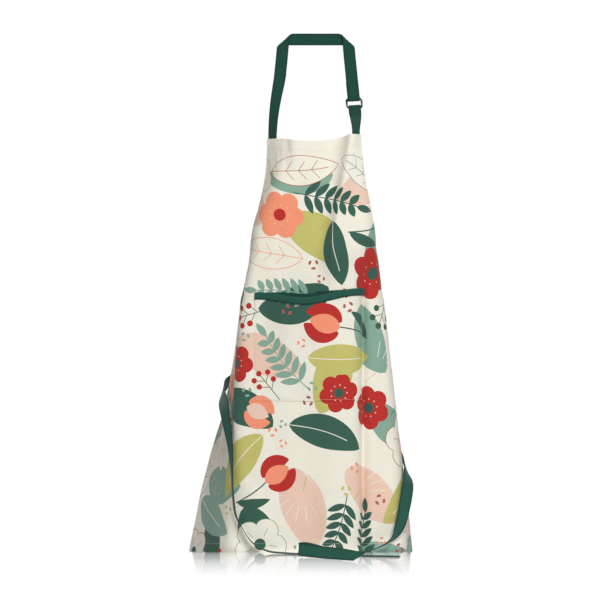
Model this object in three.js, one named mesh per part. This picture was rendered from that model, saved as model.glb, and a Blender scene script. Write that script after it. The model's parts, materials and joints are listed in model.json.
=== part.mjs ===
// Kitchen apron with a bib, a patch pocket, an adjustable neck strap and two waist ties,
// in the form it takes on a wearer. Millimetres, +X to the right seen from the front,
// +Y towards the wearer, +Z up. The origin is the middle of the band behind the neck.
import * as THREE from "three";

// Cloth and tape
const CLOTH_WALL = 1.2;
const TAPE_WIDTH = 25;
const TAPE_WALL = 1.6;
const GAP = 0.4;

// Front panel, cut flat: bib and skirt in one piece with hollowed armholes
const PANEL = { topZ: -214, length: 845, halfWidth: 330, bibHalfWidth: 115, armholeDrop: 345 };
const PANEL_GRID = { bibRows: 13, skirtRows: 12, coarse: 23, fine: 6.5, fineFrom: 54, fineTo: 138 };
const FINE_SHARE = 0.6;
const FRONT_CROWN = { turn: 6, reach: 60 };
const TOP_EDGE = { dip: 8, dipReach: 95, lift: 5, liftFrom: 40, liftTo: 90, fade: 140 };
const HEM_DROOP = { slope: 0.115, front: -160, from: 345 };
const SECTION_STEP = 2;

// Level sections of the worn panel. drop is measured down from the bib's top edge; x and y
// place the centre line; on each side the cloth runs flat, then bends back through a turn.
const SECTIONS = [
  { drop: 0, x: -7, y: -123,
    leftFlat: 0, leftBend: 72, leftTurn: 44, rightFlat: 76, rightBend: 40, rightTurn: 40 },
  { drop: 170, x: -6, y: -121,
    leftFlat: 83, leftBend: 53, leftTurn: 77, rightFlat: 92, rightBend: 72, rightTurn: 75 },
  { drop: 260, x: -7, y: -120,
    leftFlat: 104, leftBend: 45, leftTurn: 87, rightFlat: 102, rightBend: 70, rightTurn: 88 },
  { drop: 310, x: -8, y: -121,
    leftFlat: 115, leftBend: 45, leftTurn: 89, rightFlat: 127, rightBend: 64, rightTurn: 90 },
  { drop: 345, x: -8, y: -122,
    leftFlat: 122, leftBend: 45, leftTurn: 89, rightFlat: 138, rightBend: 60, rightTurn: 90 },
  { drop: 450, x: -8, y: -130,
    leftFlat: 131, leftBend: 45, leftTurn: 87, rightFlat: 147, rightBend: 65, rightTurn: 89 },
  { drop: 560, x: -8, y: -138,
    leftFlat: 135, leftBend: 46, leftTurn: 81, rightFlat: 156, rightBend: 70, rightTurn: 88 },
  { drop: 660, x: -8, y: -144,
    leftFlat: 133, leftBend: 56, leftTurn: 71, rightFlat: 163, rightBend: 70, rightTurn: 85 },
  { drop: 845, x: -8, y: -155,
    leftFlat: 128, leftBend: 80, leftTurn: 57, rightFlat: 175, rightBend: 70, rightTurn: 80 },
];

// Folds run down the panel from one end to the other; across a fold the cloth turns by an
// extra angle that rises and falls over the given widths, and fades in and out along it.
const FOLDS = [
  { name: "pipe fold flank", top: 200, topAt: 120, end: 1200, endAt: 120,
    rise: 56, fall: 8, turn: 70, fade: 125 },
  { name: "pipe fold valley", top: 200, topAt: 127, end: 1200, endAt: 127,
    rise: 6, fall: 26, turn: -52, fade: 125 },
  { name: "pipe fold swell", top: 200, topAt: 24, end: 1200, endAt: 16,
    rise: 70, fall: 50, turn: -10, fade: 125 },
  { name: "bib pleat shade", top: -100, topAt: 97, end: 305, endAt: 26,
    rise: 45, fall: 14, turn: -60, fade: 90 },
  { name: "bib pleat light", top: -100, topAt: 119, end: 305, endAt: 48,
    rise: 14, fall: 20, turn: 20, fade: 90 },
  { name: "strap pucker in", top: -60, topAt: -66, end: 100, endAt: -58,
    rise: 8, fall: 8, turn: 15, fade: 60 },
  { name: "strap pucker out", top: -60, topAt: -52, end: 100, endAt: -44,
    rise: 8, fall: 8, turn: -15, fade: 60 },
];

// Patch pocket with its bound mouth and the facing behind it
const POCKET = { from: -117, to: 119, mouthDrop: 315.7, tilt: 0.037, depth: 222.3, rows: 9 };
const POCKET_GRID = { coarse: 15, fine: 6.5, fineFrom: 54 };
const MOUTH = { centre: -12, reach: 104, gape: 27, closing: 1.5, sag: 14 };
const SEAM = { gap: 1.2, endGap: 2.7, endReach: 60 };
const BINDING = { leg: 12, wall: 1, room: 1.2, turnSteps: 4, legSteps: 2 };
const FACING = { from: -100, to: 80, above: 1.2, bottom: 338, wall: 1, gap: 0.6, columns: 22, rows: 2 };
const FACING_DIP = { depth: 4.5, at: -2, rise: 80, fall: 18 };

// Neck strap: a flat tape with a mitre fold at each corner and a turn round the rings. The far
// corner is folded a little more sharply, and the legs lean apart by the rest of a right angle.
const NECK = { leg: 230, across: 136, drop: 152, tail: 48, shift: -6.8 };
const MITRE = { angle: 85.6, farAngle: 85.9, radius: 3.2, reach: 27.5 };
const NECK_LEAN = { angle: 30, arc: 60 };
const BIB_GAP = 1.3;
const NECK_FOOT = { panelAt: -101, behind: 30, blendFrom: 26, blendTo: 150 };
const NECK_GRID = { columns: 4, coarse: 24, fine: 3.2 };
const RING_TURN = 5.3;

// Two D-rings of round wire on a tab that is sewn behind the bib
const RING = { wire: 3, inner: 28, rise: 23, squareness: 0.38, slack: 0.6, apart: 3.4, tilt: 3, shift: 1.2 };
const RING_GRID = { steps: 28, sides: 6, lookAhead: 1e-4 };
const TAB = { panelAt: 102, visible: 50, behind: 30, slack: 0.6, clear: 0.1 };
const TAB_SHAPE = { pinchFrom: 3, pinchTo: 24, blendFrom: 14, blendTo: 46 };
const TAB_GRID = { columns: 4, legSteps: 7, turnSteps: 6 };

// Waist ties, as places down each tape. Some lie off the panel: across and drop on it,
// height off its face, the angle of the tape's width from level, and how far it stands on its edge.
// The others are free in space: azimuth and tilt point across the width.
const TIE_STEPS = 64;
const TIE_LEFT = [
  { across: -312, drop: 356, off: -3.8, angle: 40, stand: 0 },
  { x: -154, y: 103, z: -600, azimuth: -90, tilt: -30 },
  { x: -160, y: 116, z: -645, azimuth: -90, tilt: -8 },
  { x: -170, y: 117, z: -690, azimuth: -92, tilt: 6 },
  { x: -181, y: 110, z: -714, azimuth: -98, tilt: 18 },
  { x: -190, y: 92, z: -727, azimuth: -107, tilt: 52 },
  { x: -195, y: 50, z: -736, azimuth: -62, tilt: 72 },
  { x: -196, y: 4, z: -745, azimuth: -40, tilt: 58 },
  { x: -193, y: -42, z: -757, azimuth: -27, tilt: 38 },
  { x: -188, y: -79, z: -776, azimuth: -34, tilt: 26 },
  { x: -182, y: -104, z: -806, azimuth: -46, tilt: 22 },
  { x: -176, y: -119, z: -840, azimuth: -59, tilt: 16 },
  { x: -172.5, y: -129, z: -875, azimuth: -72, tilt: 11 },
  { x: -170.5, y: -137, z: -915, azimuth: -80, tilt: 6 },
  { x: -168.5, y: -142, z: -950, azimuth: -80, tilt: 5 },
  { x: -163, y: -147, z: -985, azimuth: -80, tilt: 3 },
  { x: -149, y: -154, z: -1012, azimuth: -84, tilt: 0 },
  { x: -127, y: -164, z: -1040, azimuth: -86, tilt: 0 },
  { x: -98, y: -175, z: -1053.5, azimuth: -86, tilt: 0 },
  { x: -60, y: -186, z: -1057.4, azimuth: -80, tilt: 0 },
  { x: 0, y: -206, z: -1057.9, azimuth: -78, tilt: 0 },
  { x: 60, y: -222, z: -1057.9, azimuth: -80, tilt: 0 },
  { x: 120, y: -233, z: -1057.9, azimuth: -84, tilt: 0 },
  { x: 166, y: -239, z: -1057.9, azimuth: -85, tilt: 0 },
];
const TIE_RIGHT = [
  { across: 312, drop: 356, off: -3.8, angle: -40, stand: 0 },
  { x: 142.3, y: 74, z: -597.8, azimuth: 90, tilt: 30 },
  { x: 145.2, y: 82, z: -649.6, azimuth: 90, tilt: 4 },
  { x: 149.2, y: 80, z: -719.3, azimuth: 90, tilt: -6 },
  { x: 157.2, y: 72, z: -779, azimuth: 90, tilt: -16 },
  { x: 166.1, y: 62, z: -826.8, azimuth: 86, tilt: -22 },
  { x: 180.9, y: 51, z: -871.6, azimuth: 86, tilt: -40 },
  { x: 186.9, y: 12, z: -890, azimuth: 75, tilt: -62 },
  { x: 189.5, y: -27, z: -901, azimuth: 45, tilt: -58 },
  { x: 190.5, y: -71, z: -912.9, azimuth: 16, tilt: -38 },
  { x: 188, y: -111, z: -931.3, azimuth: 8, tilt: -20 },
  { x: 182, y: -125, z: -964.1, azimuth: 12, tilt: -14 },
  { x: 171.1, y: -138, z: -1005.9, azimuth: 30, tilt: -20 },
  { x: 152.2, y: -154, z: -1033.8, azimuth: 74, tilt: -8 },
  { x: 122, y: -164, z: -1050, azimuth: 80, tilt: -3 },
  { x: 70, y: -198, z: -1054.4, azimuth: 84, tilt: 2 },
  { x: 18, y: -216, z: -1048.6, azimuth: 90, tilt: 32 },
  { x: -22, y: -225, z: -1043.4, azimuth: 90, tilt: 78 },
  { x: -35, y: -238, z: -1043.2, azimuth: 90, tilt: 88 },
  { x: -22, y: -252, z: -1044, azimuth: 90, tilt: 80 },
  { x: 20, y: -271, z: -1046.6, azimuth: 90, tilt: 66 },
  { x: 60, y: -292, z: -1048.4, azimuth: 90, tilt: 50 },
  { x: 92, y: -308, z: -1051, azimuth: 90, tilt: 34 },
];

const FINISHES = {
  print: { color: 0xf0eee4, roughness: 0.9, metalness: 0 },
  green: { color: 0x28493f, roughness: 0.85, metalness: 0 },
  blackMetal: { color: 0x1b1c1d, roughness: 0.4, metalness: 0.9 },
};

const { degToRad, clamp, lerp } = THREE.MathUtils;

// Smooth step from 0 at low to 1 at high
function ease(low, high, value) {
  const share = clamp((value - low) / (high - low), 0, 1);
  return share * share * (3 - 2 * share);
}

// Round hump of height 1 at 0 that dies out at -1 and 1
function hump(share) {
  return Math.abs(share) >= 1 ? 0 : Math.cos((Math.PI * share) / 2) ** 2;
}

// Value of one column of a table at a drop, on a smooth curve through its rows
function columnAt(rows, key, drop) {
  const last = rows.length - 1;
  const row = clamp(rows.findIndex((entry) => entry.drop > drop) - 1, 0, last - 1);
  const low = drop >= rows[last].drop ? last - 1 : row;
  const slope = (index) => {
    const before = rows[Math.max(index - 1, 0)];
    const after = rows[Math.min(index + 1, last)];
    return (after[key] - before[key]) / (after.drop - before.drop);
  };
  const span = rows[low + 1].drop - rows[low].drop;
  const u = (drop - rows[low].drop) / span;
  const rise = u * u * (3 - 2 * u);
  const start = u * (1 - u) * (1 - u) * span * slope(low);
  const finish = u * u * (u - 1) * span * slope(low + 1);
  return lerp(rows[low][key], rows[low + 1][key], rise) + start + finish;
}

// Half the flat width of the panel at a drop: armhole hollowed as a quarter ellipse
function halfWidthAt(drop) {
  const { halfWidth, bibHalfWidth, armholeDrop } = PANEL;
  const share = clamp(drop / armholeDrop, 0, 1);
  return halfWidth - (halfWidth - bibHalfWidth) * Math.sqrt(1 - share * share);
}

// Extra turn, in degrees, that the folds give the cloth at a flat distance from the centre line
function foldTurn(across, drop) {
  let turn = 0;
  for (const fold of FOLDS) {
    const place = lerp(fold.topAt, fold.endAt, (drop - fold.top) / (fold.end - fold.top));
    const offset = across - place;
    const fadeIn = ease(fold.top, fold.top + fold.fade, drop);
    const fadeOut = 1 - ease(fold.end - fold.fade, fold.end, drop);
    turn += fold.turn * fadeIn * fadeOut * hump(offset / (offset < 0 ? fold.rise : fold.fall));
  }
  return turn;
}

// Direction of the cloth in a level section, in radians from +X, turning back on both sides
function headingAt(section, across, drop) {
  const side = across < 0 ? "left" : "right";
  const reach = Math.abs(across);
  const crown = FRONT_CROWN.turn * clamp(reach / FRONT_CROWN.reach, 0, 1);
  const bend = ease(section[`${side}Flat`], section[`${side}Flat`] + section[`${side}Bend`], reach);
  const turn = lerp(crown, section[`${side}Turn`], bend);
  return degToRad(Math.sign(across) * turn + foldTurn(across, drop));
}

// One level section of the panel as a row of places, a step apart, from edge to edge
const sectionCache = new Map();
function sectionAt(drop) {
  if (sectionCache.has(drop)) return sectionCache.get(drop);
  const section = {};
  for (const key of Object.keys(SECTIONS[0])) section[key] = columnAt(SECTIONS, key, drop);
  const steps = Math.ceil(PANEL.halfWidth / SECTION_STEP) + 1;
  const places = new Array(2 * steps + 1);
  places[steps] = { x: section.x, y: section.y };
  for (const side of [-1, 1]) {
    for (let step = 1; step <= steps; step++) {
      const from = places[steps + side * (step - 1)];
      const heading = headingAt(section, side * (step - 0.5) * SECTION_STEP, drop);
      const length = side * SECTION_STEP;
      places[steps + side * step] = {
        x: from.x + length * Math.cos(heading),
        y: from.y + length * Math.sin(heading),
      };
    }
  }
  sectionCache.set(drop, { places, steps });
  return sectionCache.get(drop);
}

// Lift of the bib's top edge above its level line, dying out below it
function topEdgeLift(across, drop) {
  const dip = TOP_EDGE.dip * hump(across / TOP_EDGE.dipReach);
  const lift = TOP_EDGE.lift * ease(TOP_EDGE.liftFrom, TOP_EDGE.liftTo, across);
  return (lift - dip) * Math.exp(-drop / TOP_EDGE.fade);
}

// How far the cloth hangs lower where it lies further back, most at the hem
function hemDroop(y, drop) {
  const { slope, front, from } = HEM_DROOP;
  return slope * Math.max(y - front, 0) * ease(from, PANEL.length, drop);
}

// Place on the panel's front face at a flat distance across and a drop
function panelPoint(across, drop) {
  const { places, steps } = sectionAt(drop);
  const along = clamp(across / SECTION_STEP + steps, 0, 2 * steps);
  const index = Math.min(Math.floor(along), 2 * steps - 1);
  const share = along - index;
  const x = lerp(places[index].x, places[index + 1].x, share);
  const y = lerp(places[index].y, places[index + 1].y, share);
  const z = PANEL.topZ - drop + topEdgeLift(across, drop) - hemDroop(y, drop);
  return new THREE.Vector3(x, y, z);
}

// Unit direction out of the panel's front face
function panelNormal(across, drop) {
  const reach = SECTION_STEP;
  const upper = Math.max(drop - reach, 0);
  const down = panelPoint(across, drop + reach).sub(panelPoint(across, upper));
  const sideways = panelPoint(across + reach, drop).sub(panelPoint(across - reach, drop));
  return down.cross(sideways).normalize();
}

// Place at a height off the panel's front face; a negative height is behind it
function offPanel(across, drop, height) {
  return panelPoint(across, drop).addScaledVector(panelNormal(across, drop), height);
}

// Closed wall between two matching grids of places, turned so that its faces point out
function wall(columns, rows, frontAt, backAt) {
  const positions = [];
  for (const placeAt of [frontAt, backAt]) {
    for (let row = 0; row <= rows; row++) {
      for (let column = 0; column <= columns; column++) positions.push(...placeAt(column, row).toArray());
    }
  }
  const half = (columns + 1) * (rows + 1);
  const front = (column, row) => row * (columns + 1) + column;
  const back = (column, row) => front(column, row) + half;
  const index = [];
  const quad = (a, b, c, d) => index.push(a, b, c, a, c, d);
  for (let row = 0; row < rows; row++) {
    for (let column = 0; column < columns; column++) {
      quad(front(column, row), front(column, row + 1), front(column + 1, row + 1), front(column + 1, row));
      quad(back(column, row), back(column + 1, row), back(column + 1, row + 1), back(column, row + 1));
    }
  }
  for (let column = 0; column < columns; column++) {
    quad(front(column, 0), front(column + 1, 0), back(column + 1, 0), back(column, 0));
    quad(front(column + 1, rows), front(column, rows), back(column, rows), back(column + 1, rows));
  }
  for (let row = 0; row < rows; row++) {
    quad(front(0, row + 1), front(0, row), back(0, row), back(0, row + 1));
    quad(front(columns, row), front(columns, row + 1), back(columns, row + 1), back(columns, row));
  }
  return facesOut(positions, index);
}

// Indexed geometry, with its triangles reversed if they enclose a negative volume
function facesOut(positions, index) {
  const corner = (place) => new THREE.Vector3().fromArray(positions, 3 * index[place]);
  let volume = 0;
  for (let place = 0; place < index.length; place += 3) {
    volume += corner(place).dot(corner(place + 1).cross(corner(place + 2)));
  }
  if (volume < 0) index.reverse();
  const geometry = new THREE.BufferGeometry();
  geometry.setAttribute("position", new THREE.Float32BufferAttribute(positions, 3));
  geometry.setIndex(index);
  geometry.computeVertexNormals();
  return geometry;
}

// Even places from a start up to, but not at, an end
function spread(stations, start, end, step) {
  const count = Math.ceil((end - start) / step);
  for (let place = 0; place < count; place++) stations.push(lerp(start, end, place / count));
}

// Drops of the panel's rows: close together where the armhole runs across, then even
function panelDrops() {
  const { bibRows, skirtRows } = PANEL_GRID;
  const drops = [];
  for (let row = 0; row < bibRows; row++) {
    drops.push(PANEL.armholeDrop * Math.sin((Math.PI / 2) * (row / bibRows)));
  }
  for (let row = 0; row <= skirtRows; row++) {
    drops.push(lerp(PANEL.armholeDrop, PANEL.length, row / skirtRows));
  }
  return drops;
}

// Flat distances of the panel's columns at its full width, close together over the deep folds
function panelColumns() {
  const { coarse, fine, fineFrom, fineTo } = PANEL_GRID;
  const edge = PANEL.halfWidth;
  const places = [];
  spread(places, -edge, 0, coarse);
  spread(places, 0, fineFrom, coarse / 2);
  spread(places, fineFrom, fineTo, fine);
  spread(places, fineTo, edge, coarse);
  places.push(edge);
  return places;
}

// A column's flat distance at a drop: drawn in where the armholes make the panel narrower
function narrowed(place, drop) {
  const { fineTo } = PANEL_GRID;
  const edge = halfWidthAt(drop);
  const inner = Math.min(fineTo, FINE_SHARE * edge);
  const reach = Math.abs(place);
  const outer = lerp(inner, edge, (reach - fineTo) / (PANEL.halfWidth - fineTo));
  return Math.sign(place) * (reach < fineTo ? (reach * inner) / fineTo : outer);
}

// Bib and skirt
function frontPanel() {
  const drops = panelDrops();
  const columns = panelColumns();
  const placeAt = (height) => (column, row) => {
    return offPanel(narrowed(columns[column], drops[row]), drops[row], height);
  };
  return wall(columns.length - 1, drops.length - 1, placeAt(0), placeAt(-CLOTH_WALL));
}

// Drop of the pocket's mouth, which sags where it gapes
function mouthDropAt(across) {
  return seamDropAt(across) + MOUTH.sag * hump((across - MOUTH.centre) / MOUTH.reach);
}

// Drop of the line between the mouth's two sewn ends
function seamDropAt(across) {
  return POCKET.mouthDrop - POCKET.tilt * across;
}

// Height of the pocket's inner face off the panel: sewn at the sides and foot, open at the mouth
function pocketGap(across, drop) {
  const below = drop - mouthDropAt(across);
  const toFoot = clamp(1 - below / POCKET.depth, 0, 1);
  const gape = MOUTH.gape * hump((across - MOUTH.centre) / MOUTH.reach) * toFoot ** MOUTH.closing;
  return SEAM.gap + SEAM.endGap * (1 - ease(0, SEAM.endReach, below)) + gape;
}

// Flat distances across the pocket at its columns
function pocketColumns() {
  const { coarse, fine, fineFrom } = POCKET_GRID;
  const places = [];
  spread(places, POCKET.from, fineFrom, coarse);
  spread(places, fineFrom, POCKET.to, fine);
  places.push(POCKET.to);
  return places;
}

// Patch of the pocket
function pocket() {
  const columns = pocketColumns();
  const foot = POCKET.mouthDrop + POCKET.depth;
  const placeAt = (extra) => (column, row) => {
    const across = columns[column];
    const drop = lerp(mouthDropAt(across), foot, row / POCKET.rows);
    return offPanel(across, drop, pocketGap(across, drop) + extra);
  };
  return wall(columns.length - 1, POCKET.rows, placeAt(CLOTH_WALL), placeAt(0));
}

// Band folded over the pocket's mouth: a leg in front, a round turn over the edge, a leg behind
function pocketBinding() {
  const { leg, wall: bandWall, turnSteps, legSteps } = BINDING;
  const innerRadius = CLOTH_WALL / 2 + BINDING.room;
  const columns = pocketColumns();
  const rows = 2 * legSteps + turnSteps;
  const edgeAt = (across, drop) => offPanel(across, drop, pocketGap(across, drop) + CLOTH_WALL / 2);
  const placeAt = (radius) => (column, row) => {
    const across = columns[column];
    const mouth = mouthDropAt(across);
    const edge = edgeAt(across, mouth);
    const down = edgeAt(across, mouth + leg).sub(edge).normalize();
    const normal = panelNormal(across, mouth);
    const out = normal.addScaledVector(down, -normal.dot(down)).normalize();
    const turn = Math.PI * clamp((row - legSteps) / turnSteps, 0, 1);
    const front = Math.max(legSteps - row, 0);
    const behind = Math.max(row - legSteps - turnSteps, 0);
    const below = (leg * (front + behind)) / legSteps;
    return edge
      .addScaledVector(out, radius * Math.cos(turn))
      .addScaledVector(down, below - radius * Math.sin(turn));
  };
  return wall(columns.length - 1, rows, placeAt(innerRadius + bandWall), placeAt(innerRadius));
}

// Drop of the facing's top edge, which dips where the bib's pleat ends
function facingTopAt(across) {
  const offset = across - FACING_DIP.at;
  const reach = offset < 0 ? FACING_DIP.rise : FACING_DIP.fall;
  return seamDropAt(across) - FACING.above + FACING_DIP.depth * hump(offset / reach);
}

// Strip on the panel just behind the pocket's mouth
function pocketFacing() {
  const placeAt = (height) => (column, row) => {
    const across = lerp(FACING.from, FACING.to, column / FACING.columns);
    return offPanel(across, lerp(facingTopAt(across), FACING.bottom, row / FACING.rows), height);
  };
  return wall(FACING.columns, FACING.rows, placeAt(FACING.gap + FACING.wall), placeAt(FACING.gap));
}

// Fold of a flat tape over a line: what lies past the line turns round a radius and back over
function foldOver(place, origin, direction, radius) {
  const normal = { along: Math.sin(direction), across: -Math.cos(direction) };
  const past = (place.along - origin) * normal.along + place.across * normal.across;
  if (past <= 0) return place;
  const turned = Math.min(past / radius, Math.PI);
  const beyond = Math.max(past - Math.PI * radius, 0);
  const moved = (radius - place.height) * Math.sin(turned) - beyond - past;
  return {
    along: place.along + moved * normal.along,
    across: place.across + moved * normal.across,
    height: radius - (radius - place.height) * Math.cos(turned),
  };
}

// Places along the tape, from its sewn foot: left leg, band behind the neck, right leg, tail
const NECK_CORNER = NECK.leg;
const NECK_FAR_CORNER = NECK_CORNER + NECK.across;
const NECK_LOOP = NECK_FAR_CORNER + NECK.drop;
const NECK_LENGTH = NECK_LOOP + Math.PI * RING_TURN + NECK.tail;

// Tape folded at both corners, flat in the strap's own plane
function foldedTape(along, across, height) {
  const farAngle = degToRad(MITRE.farAngle / 2);
  const angle = degToRad(MITRE.angle / 2);
  const once = foldOver({ along, across, height }, NECK_FAR_CORNER, farAngle, MITRE.radius);
  const twice = mirrored(foldOver(mirrored(once), NECK_CORNER, angle, MITRE.radius));
  const rise = degToRad(MITRE.angle);
  return {
    x: twice.along * Math.cos(rise) - twice.across * Math.sin(rise),
    up: twice.along * Math.sin(rise) + twice.across * Math.cos(rise),
    height: twice.height,
  };
}

// Folded tape with the middle of its neck band at the origin, leaned forward to the bib
const BAND_MIDDLE = foldedTape((NECK_CORNER + NECK_FAR_CORNER) / 2, 0, TAPE_WALL / 2);
function neckPlane(along, across, height) {
  const place = foldedTape(along, across, height);
  const x = place.x - BAND_MIDDLE.x + NECK.shift;
  return leanForward(x, place.up - BAND_MIDDLE.up, place.height - BAND_MIDDLE.height);
}

// The same tape seen from its other edge
function mirrored(place) {
  return { ...place, across: -place.across };
}

// Upright plane bent forward below the neck band and straight from there to the bib
function leanForward(x, up, height) {
  const arc = clamp(-up, 0, NECK_LEAN.arc);
  const full = degToRad(NECK_LEAN.angle);
  const lean = (full * arc) / NECK_LEAN.arc;
  const radius = NECK_LEAN.arc / full;
  const straight = Math.max(-up - NECK_LEAN.arc, 0);
  const y = -radius * (1 - Math.cos(lean)) - straight * Math.sin(lean) + height * Math.cos(lean);
  const z = Math.max(up, 0) - radius * Math.sin(lean) - straight * Math.cos(lean) - height * Math.sin(lean);
  return new THREE.Vector3(x, y, z);
}

// Place behind the bib's top edge, carried straight up above it
function behindBib(across, up, depth) {
  const place = offPanel(across, Math.max(-up, 0), -CLOTH_WALL - BIB_GAP - depth);
  place.z += Math.max(up, 0);
  return place;
}

// Place on the neck strap: its foot follows the bib, its far end turns round the rings and up behind
function neckPoint(along, across, height) {
  const turned = foldOver({ along, across, height }, NECK_LOOP, Math.PI / 2, RING_TURN);
  const free = neckPlane(turned.along, turned.across, turned.height);
  const blend = ease(NECK_FOOT.blendFrom, NECK_FOOT.blendTo, along);
  if (blend === 1) return free;
  const sewn = behindBib(NECK_FOOT.panelAt - across, along - NECK_FOOT.behind, height);
  return sewn.lerp(free, blend);
}

// Places of the tape's rows: close together in the folds and far apart in the straights
function neckStations() {
  const tight = [
    [NECK_CORNER - MITRE.reach, NECK_CORNER + MITRE.reach],
    [NECK_FAR_CORNER - MITRE.reach, NECK_FAR_CORNER + MITRE.reach],
    [NECK_LOOP, NECK_LOOP + Math.PI * RING_TURN],
  ];
  const stations = [];
  let from = 0;
  for (const [start, end] of [...tight, [NECK_LENGTH, NECK_LENGTH]]) {
    spread(stations, from, start, NECK_GRID.coarse);
    spread(stations, start, end, NECK_GRID.fine);
    from = end;
  }
  stations.push(NECK_LENGTH);
  return stations;
}

// Neck strap as one wall of tape
function neckStrap() {
  const stations = neckStations();
  const acrossAt = (column) => TAPE_WIDTH * (0.5 - column / NECK_GRID.columns);
  const placeAt = (height) => (column, row) => neckPoint(stations[row], acrossAt(column), height);
  return wall(NECK_GRID.columns, stations.length - 1, placeAt(0), placeAt(TAPE_WALL));
}

// Middle line of a D-ring's wire, as a share of one turn: a straight bar and a shallow arch
function ringLine(share) {
  const half = (RING.inner + RING.wire) / 2;
  const angle = 2 * Math.PI * share;
  const squared = (value) => Math.sign(value) * Math.abs(value) ** RING.squareness;
  return { across: half * squared(Math.cos(angle)), rise: (RING.rise / 2) * (1 + squared(Math.sin(angle))) };
}

// One D-ring in the loop of the strap, in front of or behind the other
function dRing(side) {
  const tilt = degToRad(side * RING.tilt);
  const positions = [];
  const index = [];
  const at = (step, turn) => (step % RING_GRID.steps) * RING_GRID.sides + (turn % RING_GRID.sides);
  const placeAt = (share, outward, depth) => {
    const line = ringLine(share);
    const ahead = ringLine(share + RING_GRID.lookAhead);
    const length = Math.hypot(ahead.across - line.across, ahead.rise - line.rise);
    const across = line.across + (outward * (ahead.rise - line.rise)) / length;
    const below = RING.rise - line.rise + (outward * (ahead.across - line.across)) / length;
    const turned = across * Math.cos(tilt) - below * Math.sin(tilt);
    const lowered = across * Math.sin(tilt) + below * Math.cos(tilt);
    const behind = RING_TURN + (side * RING.apart) / 2 + depth;
    return neckPlane(NECK_LOOP - RING.slack + lowered, turned + side * RING.shift, behind);
  };
  for (let step = 0; step < RING_GRID.steps; step++) {
    for (let turn = 0; turn < RING_GRID.sides; turn++) {
      const angle = (2 * Math.PI * turn) / RING_GRID.sides;
      const radius = RING.wire / 2;
      const place = placeAt(step / RING_GRID.steps, radius * Math.cos(angle), radius * Math.sin(angle));
      positions.push(...place.toArray());
      const corners = [at(step, turn), at(step + 1, turn), at(step + 1, turn + 1), at(step, turn + 1)];
      index.push(corners[0], corners[1], corners[2], corners[0], corners[2], corners[3]);
    }
  }
  return facesOut(positions, index);
}

// Tab: a tape doubled over the rings' bars, with both ends sewn behind the bib
const TAB_TOP = NECK_LOOP + RING.rise - 2 * RING.slack;
function ringTab() {
  const { legSteps, turnSteps, columns } = TAB_GRID;
  const length = TAB.visible + TAB.behind;
  const held = (RING.apart + RING.wire) / 2 + TAB.slack;
  const halfSpace = (below) => lerp(held, GAP / 2, ease(TAB_SHAPE.pinchFrom, TAB_SHAPE.pinchTo, below));
  const placeAt = (extra) => (column, row) => {
    const across = TAPE_WIDTH * (0.5 - column / columns);
    const turn = Math.PI * clamp((row - legSteps) / turnSteps, 0, 1);
    const steps = Math.max(legSteps - row, row - legSteps - turnSteps, 0);
    const below = (length * steps) / legSteps;
    const reach = halfSpace(below) + extra;
    const depth = -reach * Math.cos(turn);
    const lowered = below - reach * Math.sin(turn);
    const free = neckPlane(TAB_TOP + lowered, across, RING_TURN + depth);
    const level = TAPE_WALL + GAP / 2 + TAB.clear + depth;
    const sewn = behindBib(TAB.panelAt + across, TAB.visible - lowered, level);
    return free.lerp(sewn, ease(TAB_SHAPE.blendFrom, TAB_SHAPE.blendTo, lowered));
  };
  return wall(columns, 2 * legSteps + turnSteps, placeAt(TAPE_WALL), placeAt(0));
}

// Centre and width direction of a tie at a place off the panel
function besidePanel({ across, drop, off, angle, stand }) {
  const normal = panelNormal(across, drop);
  const level = new THREE.Vector3(0, 0, 1).cross(normal).normalize();
  const width = level.applyAxisAngle(normal, -degToRad(angle)).multiplyScalar(Math.cos(degToRad(stand)));
  width.addScaledVector(normal, Math.sin(degToRad(stand)));
  return { centre: offPanel(across, drop, off + TAPE_WALL / 2), width };
}

// Centre and width direction of a tie at a free place
function freePlace({ x, y, z, azimuth, tilt }) {
  const level = Math.cos(degToRad(tilt));
  const angle = degToRad(azimuth);
  const width = new THREE.Vector3(level * Math.cos(angle), level * Math.sin(angle), Math.sin(degToRad(tilt)));
  return { centre: new THREE.Vector3(x, y, z), width };
}

// Tape along its places, its width turning with them
function tie(rows) {
  const places = rows.map((row) => ("drop" in row ? besidePanel(row) : freePlace(row)));
  const path = new THREE.CatmullRomCurve3(places.map(({ centre }) => centre), false, "centripetal");
  const turning = new THREE.CatmullRomCurve3(places.map(({ width }) => width), false, "catmullrom");
  const placeAt = (side) => (column, row) => {
    const along = path.getUtoTmapping(row / TIE_STEPS);
    const tangent = path.getTangent(along);
    const normal = tangent.clone().cross(turning.getPoint(along)).normalize();
    const across = normal.clone().cross(tangent);
    return path
      .getPoint(along)
      .addScaledVector(across, TAPE_WIDTH * (column / 2 - 0.5))
      .addScaledVector(normal, (side * TAPE_WALL) / 2);
  };
  return wall(2, TIE_STEPS, placeAt(1), placeAt(-1));
}

// The assembled apron
const apron = new THREE.Group();

function add(name, geometry, finish) {
  const mesh = new THREE.Mesh(geometry, new THREE.MeshStandardMaterial(finish));
  mesh.name = name;
  apron.add(mesh);
}

add("front_panel", frontPanel(), FINISHES.print);
add("pocket", pocket(), FINISHES.print);
add("pocket_binding", pocketBinding(), FINISHES.green);
add("pocket_facing", pocketFacing(), FINISHES.green);
add("neck_strap", neckStrap(), FINISHES.green);
add("ring_tab", ringTab(), FINISHES.green);
add("d_ring_front", dRing(-1), FINISHES.blackMetal);
add("d_ring_back", dRing(1), FINISHES.blackMetal);
add("tie_left", tie(TIE_LEFT), FINISHES.green);
add("tie_right", tie(TIE_RIGHT), FINISHES.green);

export default apron;
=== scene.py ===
"""Bib apron in printed cotton, in the form it takes when worn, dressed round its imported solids.

Metres, +X to the right seen from the front, +Y towards the wearer, +Z up. The origin is the middle of
the band behind the neck.
"""

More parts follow.
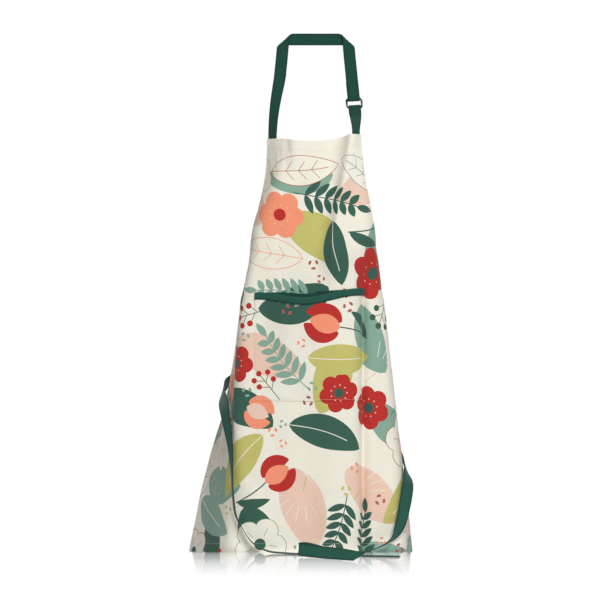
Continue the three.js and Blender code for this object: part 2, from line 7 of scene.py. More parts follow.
import json
import logging
import math
from dataclasses import dataclass, field
from enum import Enum
from typing import Callable, Sequence

import bpy
import numpy as np
from mathutils import Vector
from mathutils.geometry import delaunay_2d_cdt
from mathutils.kdtree import KDTree
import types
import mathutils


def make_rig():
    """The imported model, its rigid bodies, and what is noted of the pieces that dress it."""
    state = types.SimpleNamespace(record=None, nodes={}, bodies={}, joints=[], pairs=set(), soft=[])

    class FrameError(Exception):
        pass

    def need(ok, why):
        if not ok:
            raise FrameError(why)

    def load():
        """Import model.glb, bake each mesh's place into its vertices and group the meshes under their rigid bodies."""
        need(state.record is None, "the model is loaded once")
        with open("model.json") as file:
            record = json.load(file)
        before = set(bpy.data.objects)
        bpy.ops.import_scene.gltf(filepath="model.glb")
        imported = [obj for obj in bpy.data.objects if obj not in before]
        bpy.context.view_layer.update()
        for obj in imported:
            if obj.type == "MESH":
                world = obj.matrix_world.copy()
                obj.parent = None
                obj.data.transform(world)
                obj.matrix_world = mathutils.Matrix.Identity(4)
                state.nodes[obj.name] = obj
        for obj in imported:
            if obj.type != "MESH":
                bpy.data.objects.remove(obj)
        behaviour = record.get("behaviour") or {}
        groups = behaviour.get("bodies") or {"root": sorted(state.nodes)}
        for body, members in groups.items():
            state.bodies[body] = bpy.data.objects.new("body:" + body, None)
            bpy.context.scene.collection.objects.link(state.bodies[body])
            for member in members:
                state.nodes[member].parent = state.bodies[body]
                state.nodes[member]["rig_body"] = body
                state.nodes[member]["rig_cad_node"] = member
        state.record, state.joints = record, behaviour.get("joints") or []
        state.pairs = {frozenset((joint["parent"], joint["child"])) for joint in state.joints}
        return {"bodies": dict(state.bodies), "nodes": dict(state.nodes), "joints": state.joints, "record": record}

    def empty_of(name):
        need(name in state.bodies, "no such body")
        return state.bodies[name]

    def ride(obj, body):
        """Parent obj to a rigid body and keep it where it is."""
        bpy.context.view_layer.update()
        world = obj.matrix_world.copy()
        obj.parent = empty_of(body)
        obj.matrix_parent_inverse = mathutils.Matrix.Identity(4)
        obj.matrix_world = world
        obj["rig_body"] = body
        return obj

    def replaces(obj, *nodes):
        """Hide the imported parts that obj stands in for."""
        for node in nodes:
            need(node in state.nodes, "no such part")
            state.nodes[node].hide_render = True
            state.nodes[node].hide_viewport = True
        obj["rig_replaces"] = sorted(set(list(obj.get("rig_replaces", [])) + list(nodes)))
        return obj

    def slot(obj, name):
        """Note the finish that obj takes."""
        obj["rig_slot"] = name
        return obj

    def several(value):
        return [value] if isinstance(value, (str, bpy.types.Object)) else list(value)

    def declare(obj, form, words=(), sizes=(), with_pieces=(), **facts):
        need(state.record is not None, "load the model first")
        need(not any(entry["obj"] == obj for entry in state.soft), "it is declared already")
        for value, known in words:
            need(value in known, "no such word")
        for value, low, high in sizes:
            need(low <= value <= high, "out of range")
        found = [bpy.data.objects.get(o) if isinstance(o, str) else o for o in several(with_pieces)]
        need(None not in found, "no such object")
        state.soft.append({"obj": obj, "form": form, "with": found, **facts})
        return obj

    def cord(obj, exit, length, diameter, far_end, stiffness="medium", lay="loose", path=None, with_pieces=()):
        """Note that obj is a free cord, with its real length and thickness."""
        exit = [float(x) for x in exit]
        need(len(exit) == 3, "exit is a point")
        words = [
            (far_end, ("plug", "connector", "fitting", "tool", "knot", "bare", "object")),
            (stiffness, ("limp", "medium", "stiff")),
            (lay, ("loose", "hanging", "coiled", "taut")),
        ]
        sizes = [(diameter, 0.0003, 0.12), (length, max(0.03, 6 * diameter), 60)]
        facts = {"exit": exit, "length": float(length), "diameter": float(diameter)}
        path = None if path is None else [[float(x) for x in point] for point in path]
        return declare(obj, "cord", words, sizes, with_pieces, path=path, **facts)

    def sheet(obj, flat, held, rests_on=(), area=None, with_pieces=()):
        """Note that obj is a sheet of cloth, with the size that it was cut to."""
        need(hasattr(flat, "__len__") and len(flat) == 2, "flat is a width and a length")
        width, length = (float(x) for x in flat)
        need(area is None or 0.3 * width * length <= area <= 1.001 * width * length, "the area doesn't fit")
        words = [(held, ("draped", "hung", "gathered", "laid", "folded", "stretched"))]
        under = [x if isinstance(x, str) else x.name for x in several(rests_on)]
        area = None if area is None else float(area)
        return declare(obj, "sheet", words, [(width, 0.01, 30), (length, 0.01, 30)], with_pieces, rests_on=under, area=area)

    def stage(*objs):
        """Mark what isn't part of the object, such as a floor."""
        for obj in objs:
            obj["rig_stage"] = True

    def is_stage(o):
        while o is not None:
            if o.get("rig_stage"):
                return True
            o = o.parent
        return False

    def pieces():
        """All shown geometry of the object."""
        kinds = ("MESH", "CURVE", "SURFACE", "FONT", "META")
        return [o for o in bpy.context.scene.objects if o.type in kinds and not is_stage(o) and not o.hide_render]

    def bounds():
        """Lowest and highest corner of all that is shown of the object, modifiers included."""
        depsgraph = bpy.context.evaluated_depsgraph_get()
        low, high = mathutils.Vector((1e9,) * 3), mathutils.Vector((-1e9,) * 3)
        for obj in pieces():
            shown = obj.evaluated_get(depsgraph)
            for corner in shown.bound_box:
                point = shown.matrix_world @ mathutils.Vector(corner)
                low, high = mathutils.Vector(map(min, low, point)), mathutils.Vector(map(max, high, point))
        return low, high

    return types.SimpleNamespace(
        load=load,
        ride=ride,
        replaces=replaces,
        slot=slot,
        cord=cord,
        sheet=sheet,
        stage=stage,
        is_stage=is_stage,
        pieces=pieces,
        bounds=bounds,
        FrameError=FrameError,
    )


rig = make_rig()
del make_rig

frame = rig.load()
CAD_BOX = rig.bounds()

Array = np.ndarray
Place = Callable[[Array, Array, Array], Array]
Colour = tuple[float, float, float]
Socket = bpy.types.NodeSocket
Sockets = bpy.types.bpy_prop_collection
log = logging.getLogger("apron")

BODY = "root"
MM = 0.001


class Slot(Enum):
    """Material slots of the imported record."""

    PRINT = "printed_cotton"
    GREEN = "green_cotton"
    METAL = "black_metal"


def linear(red: int, green: int, blue: int) -> Colour:
    """Linear colour of a screen colour whose shares run from 0 to 255."""
    shares = [value / 255.0 for value in (red, green, blue)]
    return tuple(share / 12.92 if share <= 0.04045 else ((share + 0.055) / 1.055) ** 2.4 for share in shares)


class Ink(Enum):
    """Colours of the printed cotton."""

    CREAM = linear(242, 238, 223)
    FOREST = linear(58, 96, 82)
    SAGE = linear(138, 172, 154)
    LIME = linear(199, 193, 112)
    RED = linear(188, 49, 44)
    CORAL = linear(247, 152, 118)
    BLUSH = linear(238, 204, 184)
    RUST = linear(178, 98, 90)
    MIST = linear(140, 158, 147)


def smooth_step(low: float, high: float, value: Array) -> Array:
    """Step at each value that eases from 0 at low to 1 at high."""
    share = np.clip((np.asarray(value, float) - low) / (high - low), 0.0, 1.0)
    return share * share * (3.0 - 2.0 * share)


def hump(share: Array) -> Array:
    """Round hump of height 1 at 0 that dies out at -1 and 1."""
    return np.cos(0.5 * np.pi * np.clip(np.abs(share), 0.0, 1.0)) ** 2


def unit(vectors: Array) -> Array:
    """Vectors of the same direction and length 1."""
    return vectors / np.maximum(np.linalg.norm(vectors, axis=-1, keepdims=True), 1e-12)


def run_along(line: Array) -> Array:
    """Distance along a line at each of its places."""
    return np.concatenate([[0.0], np.cumsum(np.linalg.norm(np.diff(line, axis=0), axis=1))])


def spun(points: Array, turn: float) -> Array:
    """Flat places turned anticlockwise about the origin, by an angle in radians."""
    spin = np.array([[math.cos(turn), -math.sin(turn)], [math.sin(turn), math.cos(turn)]])
    return points @ spin.T


def polar(radius: Array, angle: Array) -> Array:
    """Flat places at distances and angles from the origin."""
    return np.stack([radius * np.cos(angle), radius * np.sin(angle)], axis=-1)


def bowed(length: float, bend: float, share: Array) -> Array:
    """Places up a stalk whose middle bows sideways, at shares of its length."""
    return np.stack([bend * np.sin(np.pi * share), length * share], 1)


def curve_through(drops: Array, values: Array, at: Array) -> Array:
    """Read a smooth curve through the rows of one table column.

    Args:
        drops: Rising places of the rows.
        values: The column's value in each row.
        at: Places to read it at.

    Returns:
        The curve's value at each place.
    """
    last = len(drops) - 1
    before, after = np.maximum(np.arange(last + 1) - 1, 0), np.minimum(np.arange(last + 1) + 1, last)
    slopes = (values[after] - values[before]) / (drops[after] - drops[before])
    low = np.clip(np.searchsorted(drops, at, side="right") - 1, 0, last - 1)
    span = drops[low + 1] - drops[low]
    share = (at - drops[low]) / span
    rise = share * share * (3.0 - 2.0 * share)
    start = share * (1.0 - share) ** 2 * span * slopes[low]
    finish = share * share * (share - 1.0) * span * slopes[low + 1]
    return values[low] + (values[low + 1] - values[low]) * rise + start + finish


@dataclass(frozen=True)
class Section:
    """Level section of the worn panel: its centre, and on each side a flat run, a bend and its turn."""

    drop: float
    x: float
    y: float
    left_flat: float
    left_bend: float
    left_turn: float
    right_flat: float
    right_bend: float
    right_turn: float


@dataclass(frozen=True)
class Fold:
    """Fold down the panel, across which the cloth turns by an extra angle."""

    top: float
    top_at: float
    end: float
    end_at: float
    rise: float
    fall: float
    turn: float
    fade: float


@dataclass(frozen=True)
class Crease:
    """Fine soft crease in the cloth, from one flat place to another."""

    across: float
    drop: float
    end_across: float
    end_drop: float
    width: float
    height: float


@dataclass
class PanelForm:
    """Face of the worn panel, read by flat distances: across from the centre line, and drop from the top."""

    top_z: float = -0.214
    length: float = 0.845
    half_width: float = 0.330
    bib_half_width: float = 0.115
    armhole_drop: float = 0.345
    crown_turn: float = 6.0
    crown_reach: float = 0.060
    dip: float = 0.008
    dip_reach: float = 0.095
    lift: float = 0.005
    lift_from: float = 0.040
    lift_to: float = 0.090
    lift_fade: float = 0.140
    droop_slope: float = 0.115
    droop_front: float = -0.160
    droop_from: float = 0.345
    step: float = 0.002
    ripple: float = 0.00045
    waves: int = 26
    wave_seed: int = 21
    mean_pitch: float = 0.055
    sections: Sequence[Section] = (
        Section(0.000, -0.007, -0.123, 0.000, 0.072, 44, 0.076, 0.040, 40),
        Section(0.170, -0.006, -0.121, 0.083, 0.053, 77, 0.092, 0.072, 75),
        Section(0.260, -0.007, -0.120, 0.104, 0.045, 87, 0.102, 0.070, 88),
        Section(0.310, -0.008, -0.121, 0.115, 0.045, 89, 0.127, 0.064, 90),
        Section(0.345, -0.008, -0.122, 0.122, 0.045, 89, 0.138, 0.060, 90),
        Section(0.450, -0.008, -0.130, 0.131, 0.045, 87, 0.147, 0.065, 89),
        Section(0.560, -0.008, -0.138, 0.135, 0.046, 81, 0.156, 0.070, 88),
        Section(0.660, -0.008, -0.144, 0.133, 0.056, 71, 0.163, 0.070, 85),
        Section(0.845, -0.008, -0.155, 0.128, 0.080, 57, 0.175, 0.070, 80),
    )
    folds: Sequence[Fold] = (
        Fold(0.200, 0.120, 1.200, 0.120, 0.056, 0.008, 70, 0.125),
        Fold(0.200, 0.127, 1.200, 0.127, 0.006, 0.026, -52, 0.125),
        Fold(0.200, 0.024, 1.200, 0.016, 0.070, 0.050, -10, 0.125),
        Fold(-0.100, 0.097, 0.305, 0.026, 0.045, 0.014, -60, 0.090),
        Fold(-0.100, 0.119, 0.305, 0.048, 0.014, 0.020, 20, 0.090),
        Fold(-0.060, -0.066, 0.100, -0.058, 0.008, 0.008, 15, 0.060),
        Fold(-0.060, -0.052, 0.100, -0.044, 0.008, 0.008, -15, 0.060),
    )
    creases: Sequence[Crease] = (
        Crease(-0.086, 0.010, -0.070, 0.090, 0.007, 0.0012),
        Crease(-0.058, 0.012, -0.050, 0.062, 0.006, 0.0010),
        Crease(-0.150, 0.400, -0.120, 0.560, 0.030, 0.0016),
        Crease(-0.200, 0.420, -0.190, 0.640, 0.034, -0.0018),
        Crease(0.060, 0.330, 0.020, 0.470, 0.022, 0.0010),
    )

    def __post_init__(self) -> None:
        """Lay out the level sections as a grid of places, a step apart each way."""
        self.half_steps = math.ceil(self.half_width / self.step) + 1
        self.rows = math.ceil(self.length / self.step) + 4
        drops = np.arange(self.rows + 1) * self.step
        table = np.array([list(vars(section).values()) for section in self.sections])
        names = list(vars(self.sections[0]))
        column = {name: curve_through(table[:, 0], table[:, at], drops) for at, name in enumerate(names)}
        middle = (np.arange(self.half_steps) + 0.5) * self.step
        self.grid = np.zeros((self.rows + 1, 2 * self.half_steps + 1, 2))
        self.grid[:, self.half_steps] = np.stack([column["x"], column["y"]], axis=1)
        for side, name in ((-1, "left"), (1, "right")):
            flat, bend, turn = (column[f"{name}_{kind}"][:, None] for kind in ("flat", "bend", "turn"))
            bent = np.clip((middle - flat) / bend, 0.0, 1.0)
            crown = self.crown_turn * np.clip(middle / self.crown_reach, 0.0, 1.0)
            turned = crown + (turn - crown) * bent * bent * (3.0 - 2.0 * bent)
            heading = np.radians(side * turned + self._fold_turn(side * middle[None, :], drops[:, None]))
            walk = side * self.step * np.cumsum(np.stack([np.cos(heading), np.sin(heading)], axis=2), axis=1)
            places = self.half_steps + side * np.arange(1, self.half_steps + 1)
            self.grid[:, places] = self.grid[:, self.half_steps][:, None] + walk
        chance = np.random.default_rng(self.wave_seed)
        self.wave_turn = chance.uniform(-0.7, 0.7, self.waves)
        self.wave_pitch = chance.uniform(0.024, 0.085, self.waves)
        self.wave_phase = chance.uniform(0.0, 2.0 * np.pi, self.waves)

    def _fold_turn(self, across: Array, drop: Array) -> Array:
        """Extra turn, in degrees, that the folds give the cloth."""
        turn = np.zeros(np.broadcast(across, drop).shape)
        for fold in self.folds:
            share = (drop - fold.top) / (fold.end - fold.top)
            offset = across - (fold.top_at + (fold.end_at - fold.top_at) * share)
            fade_in = smooth_step(fold.top, fold.top + fold.fade, drop)
            fade_out = 1.0 - smooth_step(fold.end - fold.fade, fold.end, drop)
            across_it = hump(offset / np.where(offset < 0, fold.rise, fold.fall))
            turn += fold.turn * fade_in * fade_out * across_it
        return turn

    def half_width_at(self, drop: Array) -> Array:
        """Half the flat width at a drop: the armholes are hollowed as quarter ellipses."""
        share = np.clip(np.asarray(drop, float) / self.armhole_drop, 0.0, 1.0)
        return self.half_width - (self.half_width - self.bib_half_width) * np.sqrt(1.0 - share * share)

    def base(self, across: Array, drop: Array) -> Array:
        """Place on the smooth face, without its fine creases.

        Args:
            across: Flat distances from the centre line.
            drop: Flat distances down from the bib's top edge.

        Returns:
            One place for each pair.
        """
        across, drop = np.broadcast_arrays(np.asarray(across, float), np.asarray(drop, float))
        column = np.clip(across / self.step + self.half_steps, 0.0, 2.0 * self.half_steps)
        row = np.clip(drop / self.step, 0.0, float(self.rows))
        left = np.minimum(column.astype(int), 2 * self.half_steps - 1)
        upper = np.minimum(row.astype(int), self.rows - 1)
        u, v = (column - left)[..., None], (row - upper)[..., None]
        top = self.grid[upper, left] * (1.0 - u) + self.grid[upper, left + 1] * u
        foot = self.grid[upper + 1, left] * (1.0 - u) + self.grid[upper + 1, left + 1] * u
        lift = self.lift * smooth_step(self.lift_from, self.lift_to, across)
        lift = lift - self.dip * hump(across / self.dip_reach)
        level = top * (1.0 - v) + foot * v
        back = np.maximum(level[..., 1] - self.droop_front, 0.0)
        droop = self.droop_slope * back * smooth_step(self.droop_from, self.length, drop)
        height = self.top_z - drop + lift * np.exp(-np.maximum(drop, 0.0) / self.lift_fade) - droop
        return np.concatenate([level, height[..., None]], axis=-1)

    def normal(self, across: Array, drop: Array) -> Array:
        """Unit direction out of the smooth front face."""
        across, drop = np.asarray(across, float), np.asarray(drop, float)
        down = self.base(across, drop + self.step) - self.base(across, np.maximum(drop - self.step, 0.0))
        sideways = self.base(across + self.step, drop) - self.base(across - self.step, drop)
        return unit(np.cross(down, sideways))

    def relief(self, across: Array, drop: Array) -> Array:
        """Height of the fine creases and ripples off the smooth face."""
        across, drop = np.broadcast_arrays(np.asarray(across, float), np.asarray(drop, float))
        height = np.zeros(across.shape)
        for turn, pitch, phase in zip(self.wave_turn, self.wave_pitch, self.wave_phase):
            along = across * math.cos(turn) + drop * math.sin(turn)
            height += np.sin(2.0 * np.pi * along / pitch + phase) * pitch
        height *= self.ripple / (self.mean_pitch * math.sqrt(self.waves / 2.0))
        for crease in self.creases:
            run = np.array([crease.end_across - crease.across, crease.end_drop - crease.drop])
            length = np.linalg.norm(run)
            along = ((across - crease.across) * run[0] + (drop - crease.drop) * run[1]) / length
            aside = ((across - crease.across) * run[1] - (drop - crease.drop) * run[0]) / length
            height += crease.height * hump(aside / crease.width) * hump(2.0 * along / length - 1.0)
        return height

    def off(self, across: Array, drop: Array, height: Array) -> Array:
        """Place at a height off the creased front face; a negative height is behind it."""
        raised = np.asarray(height, float) + self.relief(across, drop)
        return self.base(across, drop) + self.normal(across, drop) * raised[..., None]


PANEL = PanelForm()


@dataclass
class Nodes:
    """Short way to add nodes to one tree and to link them."""

    tree: bpy.types.NodeTree

    def add(self, kind: str, settings: dict[str, object] | None = None, **values: object) -> bpy.types.Node:
        """Add a node.

        Args:
            kind: Blender's name for the node.
            settings: Properties of the node.
            **values: Input values or sockets, by socket name with _ for a blank, or by place as in i0.

        Returns:
            The new node.
        """
        node = self.tree.nodes.new(kind)
        for name, value in (settings or {}).items():
            setattr(node, name, value)
        for name, value in values.items():
            key = int(name[1:]) if name[0] == "i" and name[1:].isdigit() else name.replace("_", " ")
            if isinstance(value, Socket):
                self.tree.links.new(value, node.inputs[key])
            else:
                node.inputs[key].default_value = value
        return node

    def math(self, operation: str, first: object, second: object = 0.0) -> Socket:
        """Result of a sum on one or two values or sockets."""
        return self.add("ShaderNodeMath", {"operation": operation}, i0=first, i1=second).outputs[0]

    def mix(self, share: Socket, low: Sequence[float], high: Sequence[float]) -> Socket:
        """Colour between two colours, by a share."""
        values = {"i0": share, "i6": (*low, 1.0), "i7": (*high, 1.0)}
        return self.add("ShaderNodeMix", {"data_type": "RGBA"}, **values).outputs[2]

    def link(self, source: Socket, target: Socket) -> None:
        """Link two sockets."""
        self.tree.links.new(source, target)


def node_group(
    kind: str, name: str, inputs: dict[str, str], outputs: dict[str, str]
) -> tuple[Nodes, Sockets, Sockets]:
    """Start a node group with named sockets.

    Args:
        kind: Shader or Geometry.
        name: The group's name.
        inputs: Kind of each input.
        outputs: Kind of each output.

    Returns:
        The group's helper, the sockets that give its inputs and those that take its outputs.
    """
    tree = bpy.data.node_groups.new(name, f"{kind}NodeTree")
    for way, sockets in (("INPUT", inputs), ("OUTPUT", outputs)):
        for label, sort in sockets.items():
            tree.interface.new_socket(label, in_out=way, socket_type=f"NodeSocket{sort}")
    nodes = Nodes(tree)
    return nodes, nodes.add("NodeGroupInput").outputs, nodes.add("NodeGroupOutput").inputs


class ClothEffects:
    """Shader groups that the cloth finishes share: a plain weave and an uneven yarn tone."""

    def __init__(self) -> None:
        """Build both groups."""
        self.weave = self._weave()
        self.tone = self._tone()

    @staticmethod
    def _weave() -> bpy.types.NodeTree:
        """Plain weave on flat cloth places: its height and a mask of the gaps between yarns."""
        inputs = {"Flat place": "Vector", "Yarns per metre": "Float"}
        outputs = {"Height": "Float", "Gap": "Float"}
        nodes, given, wanted = node_group("Shader", "Plain weave", inputs, outputs)
        split = nodes.add("ShaderNodeSeparateXYZ", Vector=given["Flat place"])
        yarns = nodes.math("MULTIPLY", given["Yarns per metre"], math.pi)
        warp = nodes.math("SINE", nodes.math("MULTIPLY", split.outputs[0], yarns))
        weft = nodes.math("SINE", nodes.math("MULTIPLY", split.outputs[1], yarns))
        over = nodes.math("MULTIPLY", warp, weft)
        ridges = nodes.math("MAXIMUM", nodes.math("ABSOLUTE", warp), nodes.math("ABSOLUTE", weft))
        height = nodes.math("ADD", nodes.math("MULTIPLY", over, 0.4), nodes.math("MULTIPLY", ridges, 0.6))
        nodes.link(height, wanted["Height"])
        nodes.link(nodes.math("SUBTRACT", 1.0, ridges), wanted["Gap"])
        return nodes.tree

    @staticmethod
    def _tone() -> bpy.types.NodeTree:
        """Uneven yarn: a colour made lighter and darker along both thread directions and in soft patches."""
        inputs = {"Colour": "Color", "Flat place": "Vector", "Yarn streaks": "Float", "Patches": "Float"}
        nodes, given, wanted = node_group("Shader", "Yarn tone", inputs, {"Colour": "Color"})
        flat = given["Flat place"]
        streaks = []
        for scale in ((900.0, 26.0, 1.0), (26.0, 900.0, 1.0)):
            stretched = nodes.add("ShaderNodeVectorMath", {"operation": "MULTIPLY"}, i0=flat, i1=scale)
            noise = nodes.add("ShaderNodeTexNoise", Vector=stretched.outputs[0], Scale=1.0, Detail=2.0)
            streaks.append(nodes.math("SUBTRACT", noise.outputs[0], 0.5))
        mottle = nodes.add("ShaderNodeTexNoise", Vector=flat, Scale=34.0, Detail=3.0, Roughness=0.55)
        streak = nodes.math("MULTIPLY", nodes.math("ADD", *streaks), given["Yarn streaks"])
        patch = nodes.math("SUBTRACT", mottle.outputs[0], 0.5)
        soft = nodes.math("MULTIPLY", patch, given["Patches"])
        gain = nodes.math("ADD", 1.0, nodes.math("ADD", streak, soft))
        toned = nodes.add("ShaderNodeVectorMath", {"operation": "SCALE"}, i0=given["Colour"], Scale=gain)
        nodes.link(toned.outputs[0], wanted["Colour"])
        return nodes.tree


def new_material(name: str) -> tuple[bpy.types.Material, Nodes, bpy.types.Node]:
    """Start a material.

    Args:
        name: The material's name.

    Returns:
        The material, its tree's helper and its Principled node.
    """
    made = bpy.data.materials.new(name)
    made.use_nodes = True
    return made, Nodes(made.node_tree), made.node_tree.nodes["Principled BSDF"]


@dataclass(frozen=True)
class Cotton:
    """Woven cotton: the values and nodes that its finishes share."""

    name: str = "Cotton"
    yarns: float = 1500.0
    weave_depth: float = 0.00012
    weave_strength: float = 0.45
    streaks: float = 0.10
    patches: float = 0.06
    roughness: float = 0.88
    gap_roughness: float = 0.08
    specular: float = 0.22
    sheen: float = 0.12
    sheen_roughness: float = 0.5

    def ground(self, nodes: Nodes) -> Socket:
        """Plain colour of the cloth, which each finish gives."""
        raise NotImplementedError

    def under(self, nodes: Nodes, flat: Socket) -> Socket | None:
        """Soft relief under the weave, where a finish has one."""
        return None

    def make(self, effects: ClothEffects) -> bpy.types.Material:
        """Build the material: its yarn tone, weave and matt gloss.

        Args:
            effects: Shared cloth groups.

        Returns:
            The material.
        """
        made, nodes, shader = new_material(self.name)
        ground, shared = self.ground(nodes), "ShaderNodeGroup"
        flat = nodes.add("ShaderNodeUVMap", {"uv_map": "Flat"}).outputs[0]
        tone = nodes.add(shared, {"node_tree": effects.tone}, Colour=ground, Flat_place=flat)
        tone.inputs["Yarn streaks"].default_value = self.streaks
        tone.inputs["Patches"].default_value = self.patches
        weave = nodes.add(shared, {"node_tree": effects.weave}, Flat_place=flat)
        weave.inputs["Yarns per metre"].default_value = self.yarns
        bump = nodes.add("ShaderNodeBump", Height=weave.outputs["Height"], Strength=self.weave_strength)
        bump.inputs["Distance"].default_value = self.weave_depth
        relief = self.under(nodes, flat)
        if relief is not None:
            nodes.link(relief, bump.inputs["Normal"])
        gaps = nodes.math("MULTIPLY", weave.outputs["Gap"], self.gap_roughness)
        nodes.link(tone.outputs["Colour"], shader.inputs["Base Color"])
        nodes.link(nodes.math("ADD", self.roughness, gaps), shader.inputs["Roughness"])
        nodes.link(bump.outputs[0], shader.inputs["Normal"])
        shader.inputs["Specular IOR Level"].default_value = self.specular
        shader.inputs["Sheen Weight"].default_value = self.sheen
        shader.inputs["Sheen Roughness"].default_value = self.sheen_roughness
        return made


@dataclass(frozen=True)
class PrintedCotton(Cotton):
    """Matt cotton that takes its print from the sheet's own colours."""

    name: str = "Printed cotton"
    crumple_depth: float = 0.0009
    crumple_strength: float = 0.55

    def ground(self, nodes: Nodes) -> Socket:
        """The sheet's own print."""
        return nodes.add("ShaderNodeVertexColor", {"layer_name": "Print"}).outputs[0]

    def under(self, nodes: Nodes, flat: Socket) -> Socket:
        """Soft crumples."""
        crumple = nodes.add("ShaderNodeTexNoise", Vector=flat, Scale=46.0, Detail=3.0, Roughness=0.5)
        crumple.inputs["Distortion"].default_value = 0.4
        soft = nodes.add("ShaderNodeBump", Height=crumple.outputs[0], Strength=self.crumple_strength)
        soft.inputs["Distance"].default_value = self.crumple_depth
        return soft.outputs[0]


@dataclass(frozen=True)
class GreenTape(Cotton):
    """Dark-green woven cotton, with painted shade along the folded edges and in the strap's mitre crease."""

    name: str = "Green cotton tape"
    yarns: float = 1300.0
    weave_depth: float = 0.00016
    weave_strength: float = 0.6
    streaks: float = 0.34
    patches: float = 0.24
    roughness: float = 0.86
    gap_roughness: float = 0.1
    specular: float = 0.25
    sheen: float = 0.1
    sheen_roughness: float = 0.45
    colour: Colour = linear(19, 66, 56)
    # colour of the painted shade along the edges and in the mitre crease
    edge: Colour = linear(9, 42, 35)
    edge_start: float = 0.62

    def ground(self, nodes: Nodes) -> Socket:
        """The tape's colour, with painted shade along its edges and in the mitre crease."""
        rim = nodes.add("ShaderNodeAttribute", {"attribute_name": "Edge"}).outputs["Fac"]
        shade = nodes.add("ShaderNodeMapRange", Value=rim, From_Min=self.edge_start, From_Max=1.0)
        return nodes.mix(shade.outputs[0], self.colour, self.edge)


@dataclass(frozen=True)
class Thread:
    """Twisted sewing thread."""

    name: str
    colour: Colour
    roughness: float = 0.7
    darker: float = 0.75
    lighter: float = 1.15

    def make(self) -> bpy.types.Material:
        """Build the material."""
        made, nodes, shader = new_material(self.name)
        place = nodes.add("ShaderNodeTexCoord").outputs["Object"]
        noise = nodes.add("ShaderNodeTexNoise", Vector=place, Scale=900.0, Detail=1.0)
        dark = [self.darker * share for share in self.colour]
        light = [min(self.lighter * share, 1.0) for share in self.colour]
        nodes.link(nodes.mix(noise.outputs[0], dark, light), shader.inputs["Base Color"])
        shader.inputs["Roughness"].default_value = self.roughness
        shader.inputs["Sheen Weight"].default_value = 0.2
        return made


@dataclass(frozen=True)
class BlackWire:
    """Black coated metal wire with worn, slightly uneven gloss."""

    name: str = "Black coated wire"
    colour: Colour = linear(24, 25, 27)
    worn: Colour = linear(58, 60, 62)

    def make(self) -> bpy.types.Material:
        """Build the material."""
        made, nodes, shader = new_material(self.name)
        place = nodes.add("ShaderNodeTexCoord").outputs["Object"]
        noise = nodes.add("ShaderNodeTexNoise", Vector=place, Scale=420.0, Detail=3.0, Roughness=0.6)
        rub = nodes.add("ShaderNodeMapRange", Value=noise.outputs[0], From_Min=0.55, From_Max=0.8)
        colour = nodes.mix(rub.outputs[0], self.colour, self.worn)
        rough = nodes.math("ADD", 0.26, nodes.math("MULTIPLY", noise.outputs[0], 0.2))
        bump = nodes.add("ShaderNodeBump", Height=noise.outputs[0], Distance=0.00008, Strength=0.4)
        nodes.link(colour, shader.inputs["Base Color"])
        nodes.link(rough, shader.inputs["Roughness"])
        nodes.link(bump.outputs[0], shader.inputs["Normal"])
        shader.inputs["Metallic"].default_value = 0.35
        shader.inputs["Coat Weight"].default_value = 0.3
        shader.inputs["Coat Roughness"].default_value = 0.2
        return made


@dataclass
class Finishes:
    """All materials of the apron, made once."""

    print: bpy.types.Material = field(init=False)
    tape: bpy.types.Material = field(init=False)
    tie_tape: bpy.types.Material = field(init=False)
    cream_thread: bpy.types.Material = field(init=False)
    green_thread: bpy.types.Material = field(init=False)
    wire: bpy.types.Material = field(init=False)

    def __post_init__(self) -> None:
        """Make them."""
        effects = ClothEffects()
        self.print = PrintedCotton().make(effects)
        self.tape = GreenTape().make(effects)
        # lighter copy of the same green tape, with painted light, for the ties and the pocket band
        lighter, edge = linear(35, 83, 71), linear(13, 50, 42)
        self.tie_tape = GreenTape("Lighter green tape", colour=lighter, edge=edge).make(effects)
        self.cream_thread = Thread("Cream thread", linear(232, 226, 208)).make()
        self.green_thread = Thread("Green thread", linear(30, 62, 53)).make()
        self.wire = BlackWire().make()


def new_piece(name: str, mesh: bpy.types.Mesh, finish: bpy.types.Material, slot: Slot) -> bpy.types.Object:
    """Put a mesh into the scene as a piece of the apron.

    Args:
        name: The piece's name.
        mesh: Its mesh, in place.
        finish: Its material.
        slot: The record's material slot.

    Returns:
        The new object, riding on the apron's body.
    """
    mesh.materials.clear()
    mesh.materials.append(finish)
    piece = bpy.data.objects.new(name, mesh)
    bpy.context.scene.collection.objects.link(piece)
    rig.ride(piece, BODY)
    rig.slot(piece, slot.value)
    log.info("%s: %d faces", name, len(mesh.polygons))
    return piece


